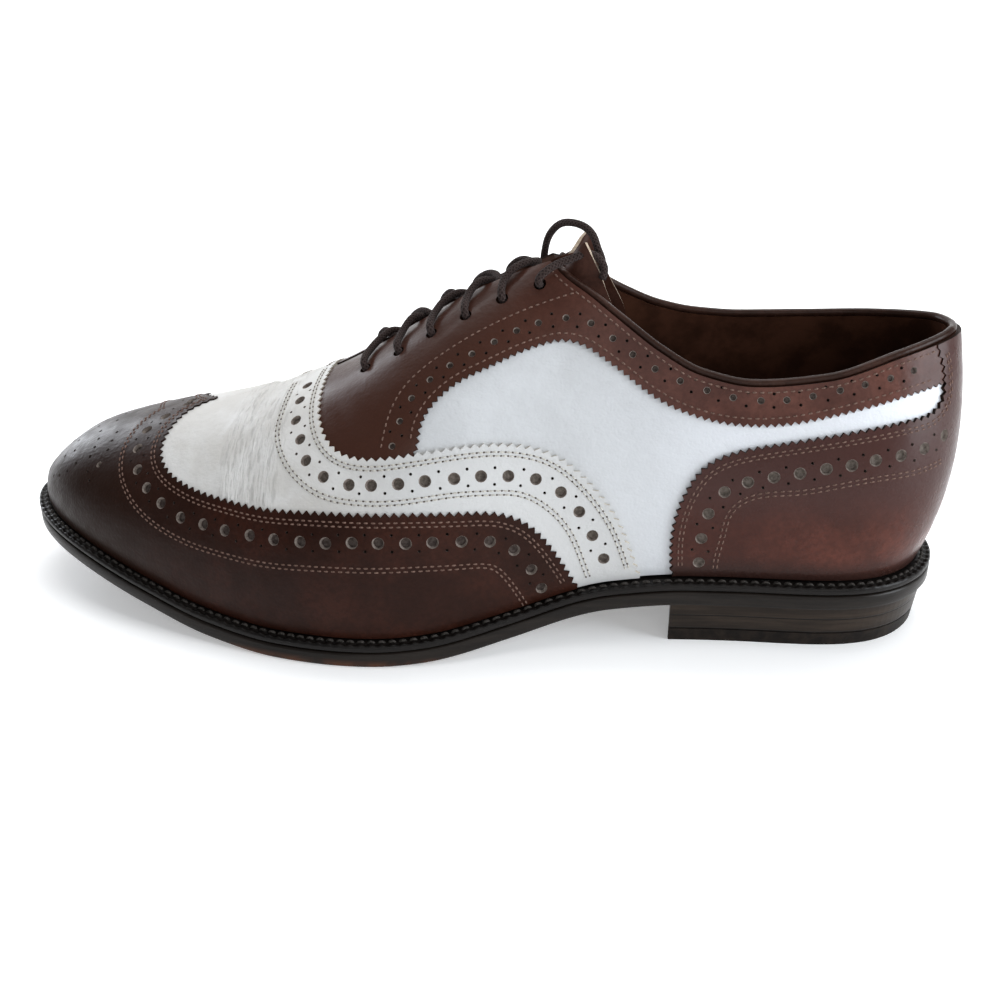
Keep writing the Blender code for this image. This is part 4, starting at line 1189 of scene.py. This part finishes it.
# overlaid leathers; radius and spread are those of their row of holes, and skin, edge and floor are
# the materials of the leather, of its cut edge and of what is seen through its holes; dark_backing is
# painted shade
Overlay = namedtuple("Overlay", "name layer outline holes radius spread skin edge floor slot node")
WINGTIP = Overlay("wingtip", WING, wing_outline, WING_HOLES, HOLE, PIN_SPREAD,
                  "brown", "brown_edge", "dark_backing", "brown_leather", "wingtip_cap")
VAMP_AND_BAND = Overlay("vamp_and_band", VAMP, vamp_outline, VAMP_HOLES, HOLE, PIN_SPREAD,
                        "cream", "white_edge", "backing", "white_leather", "vamp")
FACINGS = {name: Overlay(f"facing_and_collar_{name}", FACING, facing_outline, FACING_HOLES, SMALL_HOLE,
                         SMALL_SPREAD, "collar", "brown_edge", "dark_backing", "brown_leather",
                         f"facing_{name}") for name in ("outer", "inner")}
COUNTER_AND_STRIP = Overlay("counter_and_strip", COUNTER, counter_outline, COUNTER_HOLES, HOLE, PIN_SPREAD,
                            "counter", "brown_edge", "backing", "brown_leather", "counter")


def add_wing(skins):
    add_overlay(WINGTIP, skins, medallion=toe_medallion)
    rows = []
    for side in SIDES:
        rows += rows_beside(trace(WING_EDGE, side), side, WING_ROWS, WING.top, skip=(8, 4))
    dress(stitches("wingtip_stitches", rows, skins["thread"]), "brown_leather")


def add_vamp(skins):
    add_overlay(VAMP_AND_BAND, skins, relief=creases, spacing=FINE_NET)
    rows = []
    for side in SIDES:
        rows += rows_beside(trace(VAMP_EDGE, side), side, VAMP_ROWS, VAMP.top, skip=(8, 4))
        rows += rows_beside(trace(VAMP_ROW, side), side, TWIN_ROWS, VAMP.top, skip=(8, 4))
    dress(stitches("vamp_stitches", rows, skins["pale_thread"]), "white_leather")
    # dark dashes between the stitches: painted shade in the needle holes
    needle_hole_shade = stitches("vamp_needle_hole_shade", rows, skins["backing"], NEEDLE_HOLE, NEEDLE_PLACE)
    dress(needle_hole_shade, "white_leather")


def add_facings(skins):
    for side, (name, facing) in zip(SIDES, FACINGS.items()):
        add_overlay(facing, skins, (side,), eyelets=eyelet_loops(side))
        top = along_rim(FACING_TOP_FROM, float(turn(BINDING_CORNER)), side)
        rows = rows_beside(trace(FACING_EDGE, side), side, (FACING_EDGE_ROW,), FACING.top, skip=(20, 14))
        rows.append((side, under_rim(trace(FACING_ROW, side), side, slack=0.02), FACING.top))
        rows += rows_beside(top, side, (FACING_TOP_ROW,), FACING.top)
        dress(stitches(f"facing_stitches_{name}", rows, skins["thread"]), "brown_leather")


def add_counter(skins):
    add_overlay(COUNTER_AND_STRIP, skins)
    rows = []
    for side in SIDES:
        edge = under_rim(trace(COUNTER_EDGE, side), side, slack=0.04)
        rows += rows_beside(edge, side, COUNTER_ROWS, COUNTER.top, skip=(6, 0))
        rows += rows_beside(trace(COUNTER_ROW, side), side, TWIN_ROWS, COUNTER.top, skip=(4, 4))
    dress(stitches("counter_stitches", rows, skins["thread"]), "brown_leather")


def add_binding(skins):
    """The folded binding rides on the rim from corner to corner round the heel."""
    ts = turns_between(0.0, float(turn(BINDING_CORNER)))
    points = []
    for side, run in zip(SIDES, (ts[::-1], ts[1:])):
        tops = rim(run, side)
        laid = skin(run, tops, side, (QUARTER.top + QUARTER.bottom) / 2)
        outwards = skin(run, tops, side, 1.0) - skin(run, tops, side, 0.0)
        upwards = np.cross(outwards, np.gradient(laid, axis=0))
        upwards *= np.sign(upwards[:, 2:]) / np.linalg.norm(upwards, axis=1, keepdims=True)
        points += list(laid + upwards * BINDING_LIFT)
    piece = tube("rolled_binding", [np.array(points)], BINDING_RADIUS, skins["binding"], BINDING_SIDES)
    dress(piece, "binding_leather", "collar_binding")


def tongue_rise(spots):
    """How far the tongue's top end stands up in the middle."""
    to_end = ease((LIFT_FROM - share(spots[:, 0])) / (LIFT_FROM - LIFT_TO))
    to_middle = ease((spots[:, 1] - LIFT_MIDDLE) / (1 - LIFT_MIDDLE))
    return TONGUE_LIFT * (to_end * to_middle)


def add_tongue(skins):
    edge = paced(trace(TONGUE_EDGE, 1), 1, NET)
    outline = joined(edge, along_level(edge[-1, 0], edge[0, 0], 1.0))
    piece = laid_leather("tongue_leather", -TONGUE_SINK, {1: outline, -1: outline},
                         [skins["tongue"], skins["raw_edge"]], relief=tongue_rise)
    with opened(piece) as work:
        edges = [edge for edge in work.edges if edge.is_boundary
                 and all(abs(v.co.y) < TONGUE_END_HALF * LAST_WIDTH for v in edge.verts)]
        bmesh.ops.bridge_loops(work, edges=edges)
        bmesh.ops.recalc_face_normals(work, faces=work.faces)
    thicken(piece, TONGUE, edge_slot=1)
    dress(piece, "tongue_leather", "tongue")


def sole_walk(pitch):
    """Even steps round the last's foot: a run of t up the outer side, then one down the inner side."""
    ts = np.linspace(0, 1, 2000)
    outer_run, inner_run = (lengths(plan(ts, side, SOLE_MARGIN)[0]) for side in SIDES)
    whole = outer_run[-1] + inner_run[-1]
    count = int(round(whole / pitch))
    spots = np.arange(count) * whole / count
    outer, inner = spots[spots <= outer_run[-1]], whole - spots[spots > outer_run[-1]]
    return [(1, np.interp(outer, outer_run, ts)), (-1, np.interp(inner, inner_run, ts))]


def add_outsole(skins):
    """The outsole with softened edges, laid out rib by rib from heel to toe."""
    columns = []
    for side, corners in zip(SIDES, (OUTSOLE_SECTION, OUTSOLE_SECTION[::-1])):
        for out, height in corners:
            spots = plan(NET_TURNS, side, SOLE_MARGIN + out)[0]
            columns.append(raised(spots, underside(spots[:, 0]) + height))
    points = np.stack(columns, 1).reshape(-1, 3)
    faces = [(a, d, c, b) for a, b, c, d in bands(0, len(NET_TURNS), len(columns))]
    piece = new_object("outsole_edge_and_tread", points, faces, [skins["sole"]])
    weld(piece)
    smooth(piece)
    dress(piece, "sole_leather", "outsole")


def add_welt(skins):
    """The welt with its rounded edge and the wheel marks pressed in along it."""
    points, count = [], 0
    for side, ts in sole_walk(RIB_PITCH / RIB_STEPS):
        phase = 2 * math.pi * (count + np.arange(len(ts))) / RIB_STEPS
        count += len(ts)
        dips = RIB_DEPTH * (0.5 + 0.5 * np.cos(phase))
        columns = []
        for corner in WELT_SECTION:
            spots = plan(ts, side, SOLE_MARGIN - corner.inset)[0]
            z = underside(spots[:, 0]) + OUTSOLE + GAP + corner.height - dips * corner.dip
            columns.append(raised(spots, z))
        points.append(np.stack(columns, 1))
    points = np.concatenate(points)
    faces = bands(0, len(points), len(WELT_SECTION), closed=True)
    piece = new_object("welt_with_wheel_marks", points.reshape(-1, 3), faces, [skins["welt"]])
    smooth(piece, angle=60)
    dress(piece, "welt_leather", "welt")


def add_welt_stitches(skins):
    spans = []
    for side, ts in sole_walk(WELT_STITCH):
        spots = plan(np.sort(ts), side, WELT_ROW)[0]
        z = underside(spots[:, 0]) + OUTSOLE + GAP + WELT - WELT_STITCH_SINK
        line = raised(spots, z)
        middle, half = (line[1:] + line[:-1]) / 2, (line[1:] - line[:-1]) * WELT_STITCH_HALF
        spans.append((middle - half, middle + half, np.tile((0.0, 0.0, 1.0), (len(middle), 1))))
    dress(rods("welt_stitches", spans, WELT_THREAD, skins["welt_thread"]), "welt_leather")


def strand(number, side, rise):
    """From its eyelet over the facing's edge, across the gap and down under the other facing."""
    mark, after = EYELETS[number], EYELETS[number + 1]
    t, t_after = float(turn(mark.along)), float(turn(after.along))
    edge_t, far_t = 0.7 * t + 0.3 * t_after, 0.3 * t + 0.7 * t_after
    edge_up = rim_at(edge_t, side)
    near = skin(edge_t, edge_up, side, LACE_LIFT)
    other = skin(edge_t, rim_at(edge_t, -side), -side, LACE_LIFT)
    crossing = (near + other) / 2
    crossing[0] -= CROSSING_BACK * np.linalg.norm(near - other)
    crossing[2] += rise
    far = skin(far_t, rim_at(far_t, -side) + 0.01, -side, -LACE_DIVE)
    knots = [skin(t, mark.up, side, -0.0020), skin(t, mark.up + 0.005, side, 0.0006),
             skin(t, 0.5 * (mark.up + edge_up), side, LACE_LIFT * 0.8), near, crossing, far]
    return smooth_route(knots, count=30)


def add_laces(skins):
    """Two strands for each crossing, the outer and the inner one on top by turns."""
    for number in range(len(EYELETS) - 1):
        rise = CROSSING_RISE * LACE * (-1) ** number
        paths = [strand(number, side, side * rise) for side in SIDES]
        piece = tube(f"lace_crossing_{number + 1}", paths, LACE / 2, skins["lace"])
        dress(piece, "lace_cotton", f"lace_bar_{number + 1}")


# the two free ends after the top eyelets: over the tongue's end and down behind it
LACE_ENDS = {
    "outer": (
        (0.0787, 0.0112, 0.1109), (0.0759, 0.0105, 0.1118), (0.0730, 0.0098, 0.1128),
        (0.0705, 0.0095, 0.1131), (0.0678, 0.0098, 0.1119), (0.0661, 0.0105, 0.1090),
        (0.0667, 0.0115, 0.1063)),
    "inner": (
        (0.0846, -0.0110, 0.1110), (0.0828, -0.0080, 0.1160), (0.0800, -0.0055, 0.1190),
        (0.0765, -0.0025, 0.1200), (0.0722, 0.0005, 0.1192), (0.0695, 0.0030, 0.1168),
        (0.0681, 0.0050, 0.1135), (0.0668, 0.0058, 0.1101), (0.0671, 0.0060, 0.1070))}


def add_lace_ends(skins):
    """Each free end comes up out of its top eyelet."""
    top = EYELETS[-1]
    for side, (name, free) in zip(SIDES, LACE_ENDS.items()):
        knots = [skin(turn(top.along), top.up, side, offset) for offset in (-LACE_DIVE, LACE_LIFT)]
        path = smooth_route([*knots, *free], count=36)
        piece = tube(f"lace_tail_{name}", [path], LACE / 2, skins["lace"])
        dress(piece, "lace_cotton", f"lace_end_{name}")


def finish_solids(nodes, skins):
    """The CAD nodes that stay in view get their materials."""
    for name, made in (("heel_stack", "heel"), ("heel_top_piece", "rubber"), ("insole", "insole")):
        nodes[name].data.materials.clear()
        nodes[name].data.materials.append(skins[made])


# stage

def add_camera():
    data = bpy.data.cameras.new("camera")
    data.lens = CAMERA_LENS
    data.sensor_width = 36
    data.shift_y = CAMERA_SHIFT
    data.clip_start, data.clip_end = 0.01, 20
    camera = bpy.data.objects.new("camera", data)
    bpy.context.scene.collection.objects.link(camera)
    right = Vector((-math.cos(CAMERA_YAW), math.sin(CAMERA_YAW), 0))
    level = Vector((-math.sin(CAMERA_YAW), -math.cos(CAMERA_YAW), 0))
    ahead = level * math.cos(CAMERA_PITCH) + Vector((0, 0, -1)) * math.sin(CAMERA_PITCH)
    up = right.cross(ahead)
    rolled = right * math.cos(CAMERA_ROLL) + up * math.sin(CAMERA_ROLL)
    upward = up * math.cos(CAMERA_ROLL) - right * math.sin(CAMERA_ROLL)
    turned = Matrix((rolled, upward, -ahead)).transposed()
    camera.matrix_world = Matrix.Translation(CAMERA_AT) @ turned.to_4x4()
    bpy.context.scene.camera = camera


def add_light(name, place, target, size, power, colour=(1, 1, 1)):
    data = bpy.data.lights.new(name, "AREA")
    data.shape = "RECTANGLE"
    data.size, data.size_y = size
    data.energy = power
    data.color = colour
    light = bpy.data.objects.new(name, data)
    light.location = place
    light.rotation_mode = "QUATERNION"
    light.rotation_quaternion = (Vector(target) - Vector(place)).to_track_quat("-Z", "Y")
    bpy.context.scene.collection.objects.link(light)


def add_stage():
    """A pale floor that turns up into a wall behind, and soft light from above, in front and both ends."""
    width, wall_at, bend, height = 3.0, -1.3, 0.4, 2.2
    profile = [(2.0, 0.0)] + [(wall_at - bend * math.sin(q), bend * (1 - math.cos(q)))
                              for q in np.linspace(0, math.pi / 2, 13)] + [(wall_at - bend, height)]
    points = [(x, y, z) for y, z in profile for x in (-width, width)]
    faces = [(2 * k, 2 * k + 1, 2 * k + 3, 2 * k + 2) for k in range(len(profile) - 1)]
    pale = Graph("pale_floor", (0.90, 0.90, 0.90), 0.7, emission_color=(1, 1, 1, 1), emission_strength=0.28)
    floor = new_object("floor", points, faces, [pale.material])
    floor.data.shade_smooth()
    middle = (0.10, 0.0, 0.05)
    add_light("overhead", (0.00, -0.20, 1.30), middle, (1.3, 1.0), 7.5)
    add_light("front", (-0.15, 1.20, 0.60), middle, (1.3, 0.8), 4.0)
    add_light("heel_side", (-0.80, 0.28, 0.32), middle, (0.5, 0.6), 8.0, (0.90, 0.95, 1.0))
    add_light("toe_side", (0.97, -0.62, 0.36), (0.23, 0.0, 0.04), (0.40, 0.60), 5.0, (0.90, 0.94, 1.0))
    add_light("wall", (0.10, -0.60, 1.6), (0.10, -1.7, 0.4), (2.4, 0.6), 24)
    world = bpy.data.worlds.new("studio")
    world.use_nodes = True
    backdrop = world.node_tree.nodes["Background"]
    backdrop.inputs["Color"].default_value = (0.90, 0.95, 1.0, 1.0)
    backdrop.inputs["Strength"].default_value = 0.22
    bpy.context.scene.world = world
    bpy.context.scene.view_settings.view_transform = "Standard"


def main():
    for old in list(bpy.data.objects):
        bpy.data.objects.remove(old)
    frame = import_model()
    add_camera()
    skins = make_materials()
    for add in (add_laces, add_lace_ends, add_base, add_wing, add_vamp, add_facings, add_counter,
                add_binding, add_tongue, add_outsole, add_welt, add_welt_stitches):
        add(skins)
    finish_solids(frame["nodes"], skins)
    add_stage()


main()
